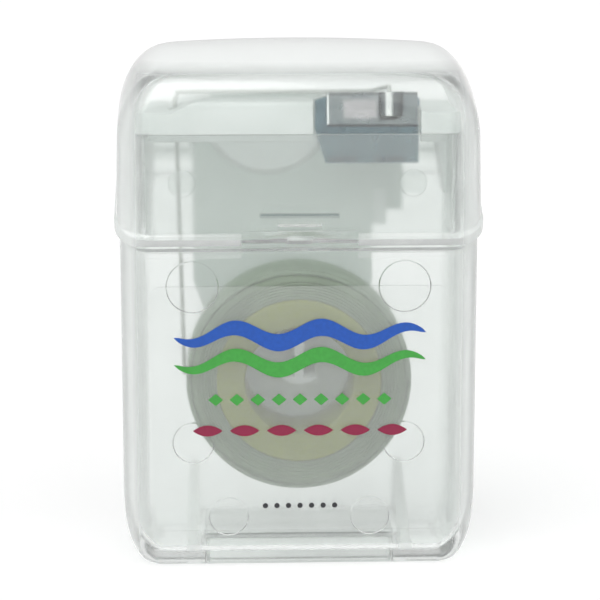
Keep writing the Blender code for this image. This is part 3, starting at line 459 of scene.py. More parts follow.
def grid_of_faces(rows, closed=True, looped=False):
    """Faces between rows of equally many points, and the rows' vertices. A closed row goes on from
    its last point to its first, and looped rows go on from the last row to the first."""
    bm = bmesh.new()
    grid = [[bm.verts.new(point) for point in row] for row in rows]
    for here, there in zip(grid, grid[1:] + (grid[:1] if looped else [])):
        for index in range(len(here) if closed else len(here) - 1):
            after = (index + 1) % len(here)
            bm.faces.new((here[index], here[after], there[after], there[index]))
    return bm, grid


def loft(name, rings, surface=None, domed=False):
    """Join rings of points into one closed solid, its ends flat or closed by a fan."""
    bm, rows = grid_of_faces(rings)
    for row, ring in ((rows[0], rings[0]), (rows[-1], rings[-1])):
        if domed:
            middle = bm.verts.new(sum(ring, Vector()) / len(ring))
            for index, point in enumerate(row):
                bm.faces.new((middle, point, row[(index + 1) % len(row)]))
        else:
            bm.faces.new(row)
    return mesh_object(name, bm, surface)


def prism(name, outline, start, end, along, surface=None):
    """Extrude an outline along X, Y or Z. Its points are the two other coordinates, in order."""
    def place(point, depth):
        first, second = point
        return {"X": (depth, first, second), "Y": (first, depth, second), "Z": (first, second, depth)}[along]
    return loft(name, [[place(point, depth) for point in outline] for depth in (start, end)], surface)


def block(name, x_range, y_range, z_range):
    outline = [(x_range[0], z_range[0]), (x_range[1], z_range[0]), (x_range[1], z_range[1]),
               (x_range[0], z_range[1])]
    return prism(name, outline, y_range[0], y_range[1], "Y")


def circle(centre, radius, sides=HOLE_SIDES):
    return [(centre[0] + radius * cos(tau * step / sides), centre[1] + radius * sin(tau * step / sides))
            for step in range(sides)]


def turned(name, profile, surface):
    """Turn a closed profile of (radius, y) points about the spool's axis."""
    turns = (tau * step / TURNED_SIDES for step in range(TURNED_SIDES))
    rows = [[(SPOOL.x + radius * cos(turn), y, SPOOL.z + radius * sin(turn)) for radius, y in profile]
            for turn in turns]
    bm, _ = grid_of_faces(rows, looped=True)
    return mesh_object(name, bm, surface)


def tube(name, points, radius, sides, surface):
    """A round tube with closed ends along the points, without twist."""
    turns = [tau * step / sides for step in range(sides)]
    rings = []
    normal = None
    for index, point in enumerate(points):
        ahead = points[min(index + 1, len(points) - 1)] - points[max(index - 1, 0)]
        tangent = ahead.normalized()
        if normal is None:
            normal = tangent.orthogonal().normalized()
        normal = (normal - tangent * normal.dot(tangent)).normalized()
        side = tangent.cross(normal)
        rings.append([point + normal * radius * cos(turn) + side * radius * sin(turn) for turn in turns])
    return loft(name, rings, surface)


def carve(target, unions=(), cuts=()):
    """Join and cut with exact Booleans, keep the result as the piece's own mesh and drop the tools."""
    for tools, operation in ((unions, "UNION"), (cuts, "DIFFERENCE")):
        for tool in tools:
            step = target.modifiers.new(tool.name, "BOOLEAN")
            step.operation = operation
            step.object = tool
    bpy.context.view_layer.update()
    graph = bpy.context.evaluated_depsgraph_get()
    surfaces = list(target.data.materials)
    mesh = bpy.data.meshes.new_from_object(target.evaluated_get(graph))
    target.modifiers.clear()
    target.data = mesh
    mesh.materials.clear()
    for surface in surfaces:
        mesh.materials.append(surface)
    for tool in (*unions, *cuts):
        bpy.data.objects.remove(tool)
    shade(mesh)
    return target


# Materials

# Noise textures: cells for each metre, and detail
WALL_CLOUDS = (210.0, 3.0)
FLOW_WAVES = (130.0, 1.0)
SCRATCHES = (5200.0, 2.0)
WALL_GLOSS = (900.0, 4.0)
FITMENT_CLOUDS = (300.0, 3.0)
FITMENT_GRAIN = (3800.0, 3.0)
FITMENT_WAVES = (420.0, 2.0)
FITMENT_GLOSS = (1200.0, 3.0)
ROLLING_LINES = (9000.0, 3.0)
SMUDGES = (520.0, 4.0)
STEEL_GLOSS = (700.0, 3.0)
SPECKLE = (2600.0, 5.0)
RING_GLOSS = (1500.0, 3.0)
FIBRES = (5200.0, 3.0)
WAX = (380.0, 4.0)
WAX_GLOSS = (900.0, 3.0)
INK_MOTTLE = (3000.0, 3.0)
INK_GLOSS = (1500.0, 2.0)
NOISE_SPAN = (0.3, 0.7)

# Heights of the bumps, and how textures stretch and slant
FLOW_RELIEF = 0.006 * MM
SCRATCH_RELIEF = 0.0006 * MM
GRAIN_RELIEF = 0.004 * MM
FITMENT_RELIEF = 0.01 * MM
ROLLING_RELIEF = 0.0012 * MM
SPECKLE_RELIEF = 0.01 * MM
FIBRE_RELIEF = 0.02 * MM
INK_RELIEF = 0.002 * MM
SCRATCH_STRETCH = (1.0, 1.0, 0.12)
ROLLING_STRETCH = (0.05, 1.0, 1.0)
FIBRE_STRETCH = (1.0, 0.25, 1.0)
FIBRE_SLANT = (0.5, 0.6, 0.4)

# Roughness, from the glossiest places to the dullest
WALL_ROUGH = (0.12, 0.17)
HINGE_ROUGH = (0.2, 0.3)
FILM_ROUGH = (0.05, 0.1)
FITMENT_ROUGH = (0.3, 0.42)
STEEL_ROUGH = (0.16, 0.3)
RING_ROUGH = (0.5, 0.7)
WAX_ROUGH = (0.38, 0.6)
INK_ROUGH = (0.28, 0.4)

# Colours, in pairs from dark to light where a surface varies
PALE_GREEN = (0.94, 0.96, 0.949)
FILM_TINT = (0.97, 0.98, 0.975)
WALL_SHADOW = (0.95, 0.96, 0.955)
# Colour of the dark line of painted shade under the latch wedge's ledge
LEDGE_PAINTED_SHADE = (0.14, 0.20, 0.21)
FITMENT_HEAD = ((0.79, 0.83, 0.81), (0.86, 0.89, 0.875))
# Painted light: a paler copy of the fitment's colour below the head; painted shade: a darker copy in the
# tongue
FITMENT_PAINTED_LIGHT = ((0.93, 0.955, 0.945), (0.97, 0.985, 0.98))
FITMENT_TONGUE_SHADE = ((0.74, 0.80, 0.77), (0.81, 0.86, 0.83))
FITMENT_SHADOW = (0.92, 0.935, 0.93)
STRIP_GREY = ((0.12, 0.15, 0.16), (0.21, 0.24, 0.24))
LEG_BLUE_GREY = ((0.08, 0.16, 0.20), (0.12, 0.23, 0.27))
# Painted shade and a painted highlight on the tooth, a painted reflection patch, a painted highlight at the
# plate's left end, and painted shade along its foot and on the barbs
TOOTH_SHADE = (0.07, 0.085, 0.09)
TOOTH_PAINTED_HIGHLIGHT = (0.72, 0.74, 0.73)
PATCH_PAINTED_REFLECTION = (0.40, 0.39, 0.40)
END_PAINTED_HIGHLIGHT = (0.75, 0.77, 0.77)
FOOT_PAINTED_SHADE = (0.02, 0.025, 0.03)
BARB_PAINTED_SHADE = (0.015, 0.04, 0.07)
RING_YELLOW = ((0.24, 0.28, 0.015), (0.31, 0.35, 0.03))
LAYER_GREEN = ((0.18, 0.26, 0.15), (0.24, 0.33, 0.20))
# The outer turns: the layers' floss painted lighter, as painted light from above
TURN_LIT_GREEN = ((0.25, 0.33, 0.23), (0.33, 0.42, 0.30))
STRAND_WHITE = ((0.58, 0.61, 0.57), (0.70, 0.72, 0.69))
INK_COLOURS = {"blue": (0.012, 0.10, 0.50), "green": (0.06, 0.40, 0.06),
               "crimson": (0.30, 0.012, 0.06), "dark": (0.03, 0.03, 0.035)}

# Clearness, gloss and milkiness
PLASTIC_IOR = 1.49
CLOUDING = 0.02
WALL_HAZE = 0.05
HINGE_HAZE = 0.3
FILM_HAZE = 0.04
SIDE_HAZE = 0.4
RIM_MILK = 0.22
GUSSET_MILK = 0.5
ROOF_MILK = 0.8
ROOF_MILK_DEPTHS = (3.4 * MM, 1.8 * MM)
LEDGE_LINE = 0.34 * MM
SOFT_EDGE = 0.15 * MM
CLEAR_COAT = {"Coat Weight": 0.3, "Coat Roughness": 0.04}
WALL_SHEEN = {"Sheen Weight": 1.0, "Sheen Roughness": 0.3}
WAX_SHEEN = {"Sheen Weight": 0.2, "Sheen Roughness": 0.4}
FITMENT_CLEARNESS = (0.2, 0.4)
STEEL_ANISOTROPY = 0.4
FIBRE_SHADE_SHARE = 0.25
INK_DARK_SHARE = 0.86


def start_material(name):
    """A new material with its tree, and the place of each point in it."""
    made = bpy.data.materials.new(name)
    made.use_nodes = True
    made.node_tree.nodes.clear()
    return made, made.node_tree, add(made.node_tree, "TexCoord").outputs["Object"]


def add(tree, kind, inputs=None, **settings):
    """Add a shader node, set its options, and set or link its inputs."""
    made = tree.nodes.new("ShaderNode" + kind)
    for key, value in settings.items():
        setattr(made, key, value)
    for key, value in (inputs or {}).items():
        if isinstance(value, bpy.types.NodeSocket):
            tree.links.new(value, made.inputs[key])
        else:
            made.inputs[key].default_value = value
    return made


def combined(tree, operation, first, *others):
    for other in others:
        first = add(tree, "Math", {0: first, 1: other}, operation=operation).outputs[0]
    return first


def product(tree, *factors):
    return combined(tree, "MULTIPLY", *factors)


def rising(tree, value, low, high, at_low=0.0, at_high=1.0):
    """Runs evenly from one level to another while a value goes from low to high."""
    return add(tree, "MapRange", {"Value": value, "From Min": low, "From Max": high,
                                  "To Min": at_low, "To Max": at_high}).outputs["Result"]


def falling(tree, value, low, high):
    return rising(tree, value, low, high, 1.0, 0.0)


def coordinates(tree, place):
    split = add(tree, "SeparateXYZ", {0: place}).outputs
    return split["X"], split["Y"], split["Z"]


def mirrored_coordinates(tree, place):
    """The coordinates with X counted to both sides, so that one limit serves left and right."""
    x, y, z = coordinates(tree, place)
    return add(tree, "Math", {0: x}, operation="ABSOLUTE").outputs[0], y, z


def noise(tree, place, texture, levels=(0.0, 1.0)):
    """A noise texture stretched between two levels."""
    scale, detail = texture
    cloud = add(tree, "TexNoise", {"Vector": place, "Scale": scale, "Detail": detail})
    return rising(tree, cloud.outputs["Fac"], *NOISE_SPAN, *levels)


def stretched(tree, place, stretch, slant=(0.0, 0.0, 0.0)):
    return add(tree, "Mapping", {"Vector": place, "Rotation": slant, "Scale": stretch}).outputs["Vector"]


def bump(tree, height, relief, before=None):
    inputs = {"Height": height, "Distance": relief}
    if before:
        inputs["Normal"] = before
    return add(tree, "Bump", inputs).outputs["Normal"]


def painted(tree, share, below, above):
    """A colour with another over it by a share. Each colour is a link or three numbers."""
    under, over = (colour if isinstance(colour, bpy.types.NodeSocket) else (*colour, 1.0)
                   for colour in (below, above))
    return add(tree, "MixRGB", {"Fac": share, "Color1": under, "Color2": over}).outputs["Color"]


def finished(made, inputs, shadow=None):
    """The material with its surface. Light that only casts shadows passes straight through a surface
    that has a shadow colour, tinted by it."""
    tree = made.node_tree
    surface = add(tree, "BsdfPrincipled", inputs).outputs[0]
    if shadow:
        through = add(tree, "BsdfTransparent", {"Color": (*shadow, 1.0)}).outputs[0]
        lamp = add(tree, "LightPath").outputs["Is Shadow Ray"]
        surface = add(tree, "MixShader", {0: lamp, 1: surface, 2: through}).outputs[0]
    add(tree, "OutputMaterial", {"Surface": surface})
    return made


def gusset_places(tree, place):
    """1 on the two gussets in the case's foot and 0 elsewhere, with soft limits."""
    x, y, z = mirrored_coordinates(tree, place)
    half = GUSSET_FOOT_WIDTH / 2
    front, back = CASE_Y - BODY_HALF_Y + BODY_WALL, CASE_Y + BODY_HALF_Y - BODY_WALL
    return product(tree, rising(tree, x, GUSSET_MIDDLE - half - SOFT_EDGE, GUSSET_MIDDLE - half),
                   falling(tree, x, GUSSET_MIDDLE + half, GUSSET_MIDDLE + half + SOFT_EDGE),
                   rising(tree, y, front + SOFT_EDGE, front + SOFT_EDGE * 2),
                   falling(tree, y, back - SOFT_EDGE * 2, back),
                   falling(tree, z, GUSSET_TOP, GUSSET_TOP + SOFT_EDGE), rising(tree, z, FOOT_ROUND, FLOOR))


def ledge_shade_places(tree, place):
    """1 on the latch wedge's ledge, where a dark line of painted shade goes, and 0 elsewhere."""
    x, y, z = mirrored_coordinates(tree, place)
    face = CASE_Y - NECK_HALF_Y
    return product(tree, falling(tree, x, LATCH_WIDTH / 2 + HAIR, LATCH_WIDTH / 2 + SOFT_EDGE),
                   falling(tree, y, face - HAIR, face + HAIR),
                   rising(tree, z, LATCH_HEIGHT - LEDGE_LINE, LATCH_HEIGHT - LEDGE_LINE / 2),
                   falling(tree, z, LATCH_HEIGHT + LEDGE_LINE / 2, LATCH_HEIGHT + LEDGE_LINE))


def rim_places(tree, place):
    """1 on the front rims of the case and the lid beside the thumb tab, and 0 elsewhere."""
    x, y, z = mirrored_coordinates(tree, place)
    inside = CASE_Y - LID_HALF_Y + LID_WALL
    low, high = PARTING_FRONT - SHOULDER, PARTING_FRONT + LID_BEAD_HEIGHT + LID_BEAD_OUT * 2
    return product(tree, rising(tree, x, TAB_WIDTH / 2 - SOFT_EDGE, TAB_WIDTH / 2 + SOFT_EDGE),
                   falling(tree, y, inside, inside + SOFT_EDGE), rising(tree, z, low, low + SOFT_EDGE),
                   falling(tree, z, high, high + SOFT_EDGE))


def roof_places(tree, place):
    """0 below the lid's roof, rising to 1 in it."""
    low, high = (LID_HEIGHT - depth for depth in ROOF_MILK_DEPTHS)
    return rising(tree, coordinates(tree, place)[2], low, high)


def clear_plastic(name, tint, haze, rough, sheen=None, side_haze=None, milk=(), shade_places=None):
    """Moulded polypropylene: tinted at its surfaces and a little milky, with slight flow waves and
    fine rubbed scratches. It can be milkier in both side walls and in given places, and can carry a dark
    line of painted shade in given places."""
    made, tree, place = start_material(name)
    clearness = 1.0 - haze
    if side_haze:
        clearness = rising(tree, mirrored_coordinates(tree, place)[0], NECK_HALF_X - BODY_WALL,
                           NECK_HALF_X + BODY_WALL / 2, 1.0 - haze, 1.0 - side_haze)
    for find_places, share in milk:
        clearer = rising(tree, find_places(tree, place), 0.0, 1.0, 1.0, 1.0 - share)
        clearness = combined(tree, "MINIMUM", clearness, clearer)
    dark = tuple(channel - CLOUDING for channel in tint)
    colour = painted(tree, noise(tree, place, WALL_CLOUDS), dark, tint)
    # Painted shade: the given places are darkened to a dark line
    if shade_places:
        colour = painted(tree, shade_places(tree, place), colour, LEDGE_PAINTED_SHADE)
    waves = bump(tree, noise(tree, place, FLOW_WAVES), FLOW_RELIEF)
    scratches = noise(tree, stretched(tree, place, SCRATCH_STRETCH), SCRATCHES)
    return finished(made, {
        "Base Color": colour, "IOR": PLASTIC_IOR, "Transmission Weight": clearness,
        "Roughness": noise(tree, place, WALL_GLOSS, rough), **CLEAR_COAT, **(sheen or {}),
        "Normal": bump(tree, scratches, SCRATCH_RELIEF, waves)}, WALL_SHADOW)


def frosted_plastic():
    """Milky fitment plastic: partly see-through and blurred, with a fine moulded grain. It is painted
    paler below the head as painted light, and painted darker in the tongue as painted shade; the tongue
    is also clearer."""
    made, tree, place = start_material("frosted_plastic")
    _, y, z = coordinates(tree, place)
    tongue = rising(tree, y, TONGUE_FRONT - SEAT_GAP, TONGUE_FRONT - HAIR)
    below = falling(tree, z, HEAD_BOTTOM - SEAT_GAP, HEAD_BOTTOM + SEAT_GAP)
    clouds = noise(tree, place, FITMENT_CLOUDS)
    # Painted light below the head and painted shade in the tongue, as lighter and darker copies of the
    # head's colour
    head_tone, painted_light_tone, tongue_shade_tone = (painted(tree, clouds, *pair)
                                        for pair in (FITMENT_HEAD, FITMENT_PAINTED_LIGHT, FITMENT_TONGUE_SHADE))
    colour = painted(tree, tongue, painted(tree, below, head_tone, painted_light_tone), tongue_shade_tone)
    grain = bump(tree, noise(tree, place, FITMENT_GRAIN), GRAIN_RELIEF)
    return finished(made, {
        "Base Color": colour, "IOR": PLASTIC_IOR,
        "Transmission Weight": rising(tree, tongue, 0.0, 1.0, *FITMENT_CLEARNESS),
        "Roughness": noise(tree, place, FITMENT_GLOSS, FITMENT_ROUGH),
        "Normal": bump(tree, noise(tree, place, FITMENT_WAVES), FITMENT_RELIEF, grain)}, FITMENT_SHADOW)


def rolled_steel():
    """Thin strip steel with rolling lines and smudges. The plate has painted shade on its tooth with a
    painted highlight line, a painted reflection patch, a painted highlight along its left end and a line
    of painted shade along its foot. The rear leg is blue-grey, its barbs darkened with painted shade."""
    made, tree, place = start_material("rolled_steel")
    x, y, z = coordinates(tree, place)
    smudges = noise(tree, place, SMUDGES)
    left, right = TOOTH_X + TOOTH_STEEL - TOOTH_REACH, TOOTH_X + TOOTH_STEEL
    # Painted shade on the tooth with a painted highlight line, and a painted reflection patch on the plate
    tooth = product(tree, rising(tree, x, left - HAIR, left), falling(tree, x, right, right + HAIR),
                    rising(tree, z, TOOTH_LOW - HAIR, TOOTH_LOW))
    line = [left + TOOTH_REACH * share for share in TOOTH_HIGHLIGHT_SHARES]
    highlight = product(tree, tooth, rising(tree, x, line[0], line[1]), falling(tree, x, line[2], line[3]))
    patch = product(tree, *(limit for value, (low, high) in ((x, PATCH_X), (z, PATCH_Z))
                            for limit in (rising(tree, value, low, low + PATCH_BLUR),
                                          falling(tree, value, high - PATCH_BLUR, high))))
    # Painted highlight along the plate's left end and painted shade along its foot
    end = falling(tree, x, CUTTER_LEFT + EDGE_BAND, CUTTER_LEFT + EDGE_BAND * 2)
    foot_shade = falling(tree, z, CUTTER_FOOT + EDGE_BAND, CUTTER_FOOT + EDGE_BAND * 2)
    plate_colour = painted(tree, smudges, *STRIP_GREY)
    for share, over in ((tooth, TOOTH_SHADE), (highlight, TOOTH_PAINTED_HIGHLIGHT), (patch, PATCH_PAINTED_REFLECTION), (end, END_PAINTED_HIGHLIGHT),
                        (foot_shade, FOOT_PAINTED_SHADE)):
        plate_colour = painted(tree, share, plate_colour, over)
    leg_face = CUTTER_LEG_Y - STEEL
    # Painted shade on the barbs
    barb = falling(tree, y, leg_face - BARB_OUT / 4, leg_face - HAIR)
    leg_colour = painted(tree, barb, painted(tree, smudges, *LEG_BLUE_GREY), BARB_PAINTED_SHADE)
    leg = rising(tree, y, leg_face - STEEL, leg_face - STEEL / 2)
    lines = noise(tree, stretched(tree, place, ROLLING_STRETCH), ROLLING_LINES)
    return finished(made, {
        "Base Color": painted(tree, leg, plate_colour, leg_colour), "Metallic": 1.0,
        "Roughness": noise(tree, place, STEEL_GLOSS, STEEL_ROUGH), "Anisotropic": STEEL_ANISOTROPY,
        "Normal": bump(tree, lines, ROLLING_RELIEF)})


def card_ring():
    """The core ring: dull yellowish material with a fine speckle."""
    made, tree, place = start_material("card_ring")
    speckle = noise(tree, place, SPECKLE)
    return finished(made, {
        "Base Color": painted(tree, speckle, *RING_YELLOW),
        "Roughness": noise(tree, place, RING_GLOSS, RING_ROUGH),
        "Normal": bump(tree, speckle, SPECKLE_RELIEF)})


def waxed_floss(name, dark, light):
    """Waxed thread: fine fibres, uneven wax and a soft sheen."""
    made, tree, place = start_material(name)
    fibres = noise(tree, stretched(tree, place, FIBRE_STRETCH, FIBRE_SLANT), FIBRES)
    wax = painted(tree, noise(tree, place, WAX), dark, light)
    shaded = add(tree, "MixRGB", {"Fac": FIBRE_SHADE_SHARE, "Color1": wax, "Color2": fibres},
                 blend_type="MULTIPLY")
    return finished(made, {
        "Base Color": shaded.outputs["Color"], "Roughness": noise(tree, place, WAX_GLOSS, WAX_ROUGH),
        **WAX_SHEEN, "Normal": bump(tree, fibres, FIBRE_RELIEF)})


def printed_ink(name, colour):
    """Ink on the film: even colour with slight mottling, duller than the film."""
    made, tree, place = start_material(name)
    mottle = noise(tree, place, INK_MOTTLE)
    dark = tuple(channel * INK_DARK_SHARE for channel in colour)
    return finished(made, {
        "Base Color": painted(tree, mottle, dark, colour),
        "Roughness": noise(tree, place, INK_GLOSS, INK_ROUGH), "Normal": bump(tree, mottle, INK_RELIEF)})


# Case

def base_stations(half_x, half_y, corner, bottom, height, side_in, front_in):
    """Stations of a foot that draws in towards the bottom, read smoothly from the shares."""
    made = []
    last = len(BASE_SHARES) - 1
    for index in range(last):
        around = [BASE_SHARES[min(max(index + offset, 0), last)] for offset in (-1, 0, 1, 2)]
        for step in range(BASE_STEPS):
            t = step / BASE_STEPS
            rise, side, front = (smooth_value(values, t) for values in zip(*around))
            fullness = BASE_CORNER_SHARE + (1 - BASE_CORNER_SHARE) * max(rise, 0.0) ** 0.5
            made.append(Station(half_x - side_in * side, half_y - front_in * front,
                                corner * fullness, bottom + height * rise))
    made.append(Station(half_x, half_y, corner, bottom + height))
    return made


def smooth_value(values, t):
    """A Catmull-Rom curve through the two middle values, at t from 0 to 1."""
    before, here, there, beyond = values
    return 0.5 * (2 * here + (there - before) * t + (2 * before - 5 * here + 4 * there - beyond) * t ** 2
                  + (3 * here - before - 3 * there + beyond) * t ** 3)


def make_case(surface):
    """The cup and its neck as one lofted skin, with the floor panel, the gussets and the latch wedge
    joined on, and the base's recess, the pin marks and the hinge's notch cut out."""
    outer = (BODY_HALF_X, BODY_HALF_Y, BODY_CORNER)
    inner = (BODY_HALF_X - BODY_WALL, BODY_HALF_Y - BODY_WALL, BODY_CORNER - BODY_WALL)
    neck_outer = (NECK_HALF_X, NECK_HALF_Y, NECK_CORNER)
    neck_inner = (NECK_HALF_X - NECK_WALL, NECK_HALF_Y - NECK_WALL, PLUG_CORNER)
    under = BODY_RIM - SHOULDER
    seat = HEAD_BOTTOM - HAIR
    outside = base_stations(*outer, 0.0, BASE_TAPER_HEIGHT, BASE_SIDE_IN, BASE_FRONT_IN)
    neck = [
        Station(*outer, BODY_RIM, 1.0, radius=RIM_ROUND),
        Station(*neck_outer, BODY_RIM, 1.0, radius=EDGE_ROUND),
        Station(*neck_outer, seat - NECK_BAND),
        Station(*neck_outer, seat, radius=HEAD_SEAM_ROUND),
        Station(*neck_inner, seat, radius=HEAD_SEAM_ROUND),
        Station(*neck_inner, seat - NECK_BAND),
        Station(*neck_inner, under, 1.0, radius=EDGE_ROUND),
        Station(*inner, under, 1.0, radius=EDGE_ROUND),
    ]
    inside = base_stations(*inner, FLOOR, BASE_TAPER_HEIGHT - FLOOR, BASE_SIDE_IN, FLOOR_ROUND)
    case = loft("case_shell", station_rings(outside + neck + inside[::-1]), surface)
    inner_y = BODY_HALF_Y - BODY_WALL
    gussets = [make_gusset(side, name, inner_y) for side, name in SIDES]
    marks = pin_marks(BODY_MARKS, CASE_Y - inner_y, MARK_DEPTH)
    carve(case, [make_floor_panel(), *gussets, make_latch_wedge()],
          [make_base_recess(), *marks, hinge_notch("body_notch")])
    even_normals(case)
    return case


def panel_shape(name, inset, foot):
    """The panel's shape drawn in by an inset, its upper edge rounded. Its foot's rows give how much
    wider it is there, the height and the rounding."""
    half_x, half_y = PANEL_WIDTH / 2 - inset, PANEL_DEPTH / 2 - inset
    top = FLOOR + PANEL_RISE - inset
    rows = (*foot, (0.0, top, EDGE_ROUND), (-PANEL_FLAT_IN, top, 0.0))
    return loft(name, station_rings([Station(half_x + wider, half_y + wider, PANEL_CORNER, z, radius=radius)
                                     for wider, z, radius in rows]))


def make_floor_panel():
    """The raised panel on the floor."""
    return panel_shape("floor_panel", 0.0, [(0.0, FLOOR - UNDERLAP * 2, 0.0)])


def make_base_recess():
    """The hollow under the raised panel, its mouth and its ceiling rounded."""
    return panel_shape("base_recess", PANEL_WALL, [(OVERRUN, -OVERRUN, 0.0), (0.0, 0.0, EDGE_ROUND)])


def pin_marks(marks, face, depth):
    """Discs that sink a shallow round mark with a sloping flank into the inner face of a front wall."""
    discs = []
    for index, (x, z, radius) in enumerate(marks):
        rows = ((radius, face - depth), (radius + MARK_FLANK, face), (radius + MARK_FLANK, face + depth))
        rings = [[(u, y, v) for u, v in circle((x, z), wide)] for wide, y in rows]
        discs.append(loft(f"mark_{index}", rings))
    return discs


def make_gusset(side, name, inner_y):
    """A triangular rib from the back wall down to the floor, thicker at its foot."""
    middle = side * GUSSET_MIDDLE
    back = CASE_Y + inner_y + BODY_WALL / 2
    front = CASE_Y - inner_y + GUSSET_FRONT_GAP
    foot = FLOOR / 2
    bm = bmesh.new()
    sides = []
    for edge in (-1, 1):
        top = bm.verts.new((middle + edge * GUSSET_TOP_WIDTH / 2, back, GUSSET_TOP))
        heel = bm.verts.new((middle + edge * GUSSET_FOOT_WIDTH / 2, back, foot))
        toe = bm.verts.new((middle + edge * GUSSET_FOOT_WIDTH / 2, front, foot))
        sides.append((top, heel, toe))
        bm.faces.new((top, heel, toe))
    for index in range(3):
        after = (index + 1) % 3
        bm.faces.new((sides[0][index], sides[0][after], sides[1][after], sides[1][index]))
    bmesh.ops.triangulate(bm, faces=bm.faces)
    return mesh_object(f"gusset_{name}", bm)


def make_latch_wedge():
    """A wedge on the neck's front: a ledge underneath, and flanks that narrow to its top."""
    face = CASE_Y - NECK_HALF_Y
    rows = ((LATCH_WIDTH / 2, face - LATCH_OUT, LATCH_HEIGHT),
            (LATCH_TOP_WIDTH / 2, face - UNDERLAP, LATCH_HEIGHT + LATCH_RISE),
            (LATCH_TOP_WIDTH / 2, face + NECK_WALL / 2, LATCH_HEIGHT + LATCH_RISE),
            (LATCH_WIDTH / 2, face + NECK_WALL / 2, LATCH_HEIGHT))
    sides = [[(side * half, y, z) for half, y, z in rows] for side in (-1, 1)]
    return loft("latch_wedge", sides)


def hinge_notch(name):
    """Room for the hinge's web in the two back edges."""
    half = WEB_WIDTH / 2 + SEAT_GAP
    reach = WEB_HEIGHT / 2 + SEAT_GAP
    return block(name, (-half, half), (HINGE.y - LID_WALL, HINGE.y + OVERRUN),
                 (HINGE.z - reach, HINGE.z + reach))


# Lid

def lid_skin(inset, roof_inset):
    """Rings of one skin of the lid, from above its rim to the middle of its roof."""
    corner = LID_CORNER - inset
    top_x = LID_HALF_X - LID_BEAD_OUT - inset - LID_DRAFT
    top_y = LID_HALF_Y - LID_BEAD_OUT - inset - LID_DRAFT
    edge_in, side_in = EDGE_IN - roof_inset, EDGE_SIDE_IN - roof_inset
    rings = []
    for turn in quarter_turns(EDGE_STEPS):
        drawn_in, side_drawn_in = edge_in * (1 - cos(turn)), side_in * (1 - cos(turn))

        def edge_height(x, y, sunk=1 - sin(turn)):
            return roof_height(x, y) - roof_inset - edge_drop(x, y) * sunk

        rings.append(rounded_ring(top_x - side_drawn_in, top_y - drawn_in,
                                  max(corner - drawn_in, corner * LEAST_CORNER_SHARE), edge_height))
    roof_x, roof_y = top_x - side_in, top_y - edge_in
    roof_corner = max(corner - edge_in, corner * LEAST_CORNER_SHARE)
    for step in range(1, ROOF_RINGS):
        share = 1 - step / ROOF_RINGS
        rings.append(rounded_ring(roof_x * share, roof_y * share, roof_corner * share,
                                  lambda x, y: roof_height(x, y) - roof_inset))
    return rings


def make_lid(surface):
    """The hollow lid with its rim bead, thumb tab, catch, pin marks and hinge notch."""
    bead_top = LID_RIM + LID_BEAD_HEIGHT
    above_bead = (LID_HALF_X - LID_BEAD_OUT, LID_HALF_Y - LID_BEAD_OUT, LID_CORNER)
    bead = (LID_HALF_X, LID_HALF_Y, LID_CORNER)
    inner = (LID_HALF_X - LID_WALL, LID_HALF_Y - LID_WALL, LID_CORNER - LID_WALL + LID_BEAD_OUT)
    edge = [
        Station(*above_bead, bead_top + LID_BEAD_OUT * 3, 1.0),
        Station(*above_bead, bead_top + LID_BEAD_OUT, 1.0, radius=EDGE_ROUND / 2),
        Station(*bead, bead_top, 1.0, radius=EDGE_ROUND / 2),
        Station(*bead, LID_RIM, 1.0, radius=RIM_ROUND),
        Station(*inner, LID_RIM, 1.0, radius=RIM_ROUND),
        Station(*inner, bead_top + LID_BEAD_OUT, 1.0),
    ]
    outside = lid_skin(0.0, 0.0)
    inside = lid_skin(LID_WALL - LID_BEAD_OUT, LID_WALL)
    lid = loft("lid_shell", outside[::-1] + station_rings(edge) + inside, surface, domed=True)
    marks = pin_marks(LID_MARKS, CASE_Y - (LID_HALF_Y - LID_WALL), LID_MARK_DEPTH)
    carve(lid, [make_thumb_tab(), make_catch()], [*marks, hinge_notch("lid_notch")])
    even_normals(lid)
    return lid


def make_thumb_tab():
    """A lip with a bowed, rounded front edge under the lid's front rim."""
    half = TAB_WIDTH / 2
    wall_y = CASE_Y - LID_HALF_Y + LID_WALL / 2
    profile = [(TAB_OUT - TAB_EDGE * (1 - sin(turn)), LID_RIM + TAB_EDGE * (1 - cos(turn)))
               for turn in quarter_turns(ROUND_STEPS)]
    profile += [(TAB_OUT, LID_RIM + TAB_HEIGHT / 2), (TAB_TOP_OUT, LID_RIM + TAB_HEIGHT)]
    rows = []
    for out, height in profile:
        row = [(half * place, CASE_Y - LID_HALF_Y + UNDERLAP - out * (1 - place * place), height)
               for place in from_side_to_side(LONG_STEPS * 2)]
        rows.append(row + [(half, wall_y, height), (-half, wall_y, height)])
    return loft("thumb_tab", rows)


def make_catch():
    """A small bead inside the lid's front that snaps under the latch wedge."""
    face = CASE_Y - LID_HALF_Y + LID_WALL
    top = LATCH_HEIGHT - CATCH_BELOW_LATCH
    outline = [(face - LID_WALL / 2, top), (face - LID_WALL / 2, top - CATCH_RISE),
               (face, top - CATCH_RISE), (face + CATCH_OUT, top - CATCH_RISE / 2), (face, top)]
    return prism("catch_bead", outline, -CATCH_WIDTH / 2, CATCH_WIDTH / 2, "X")


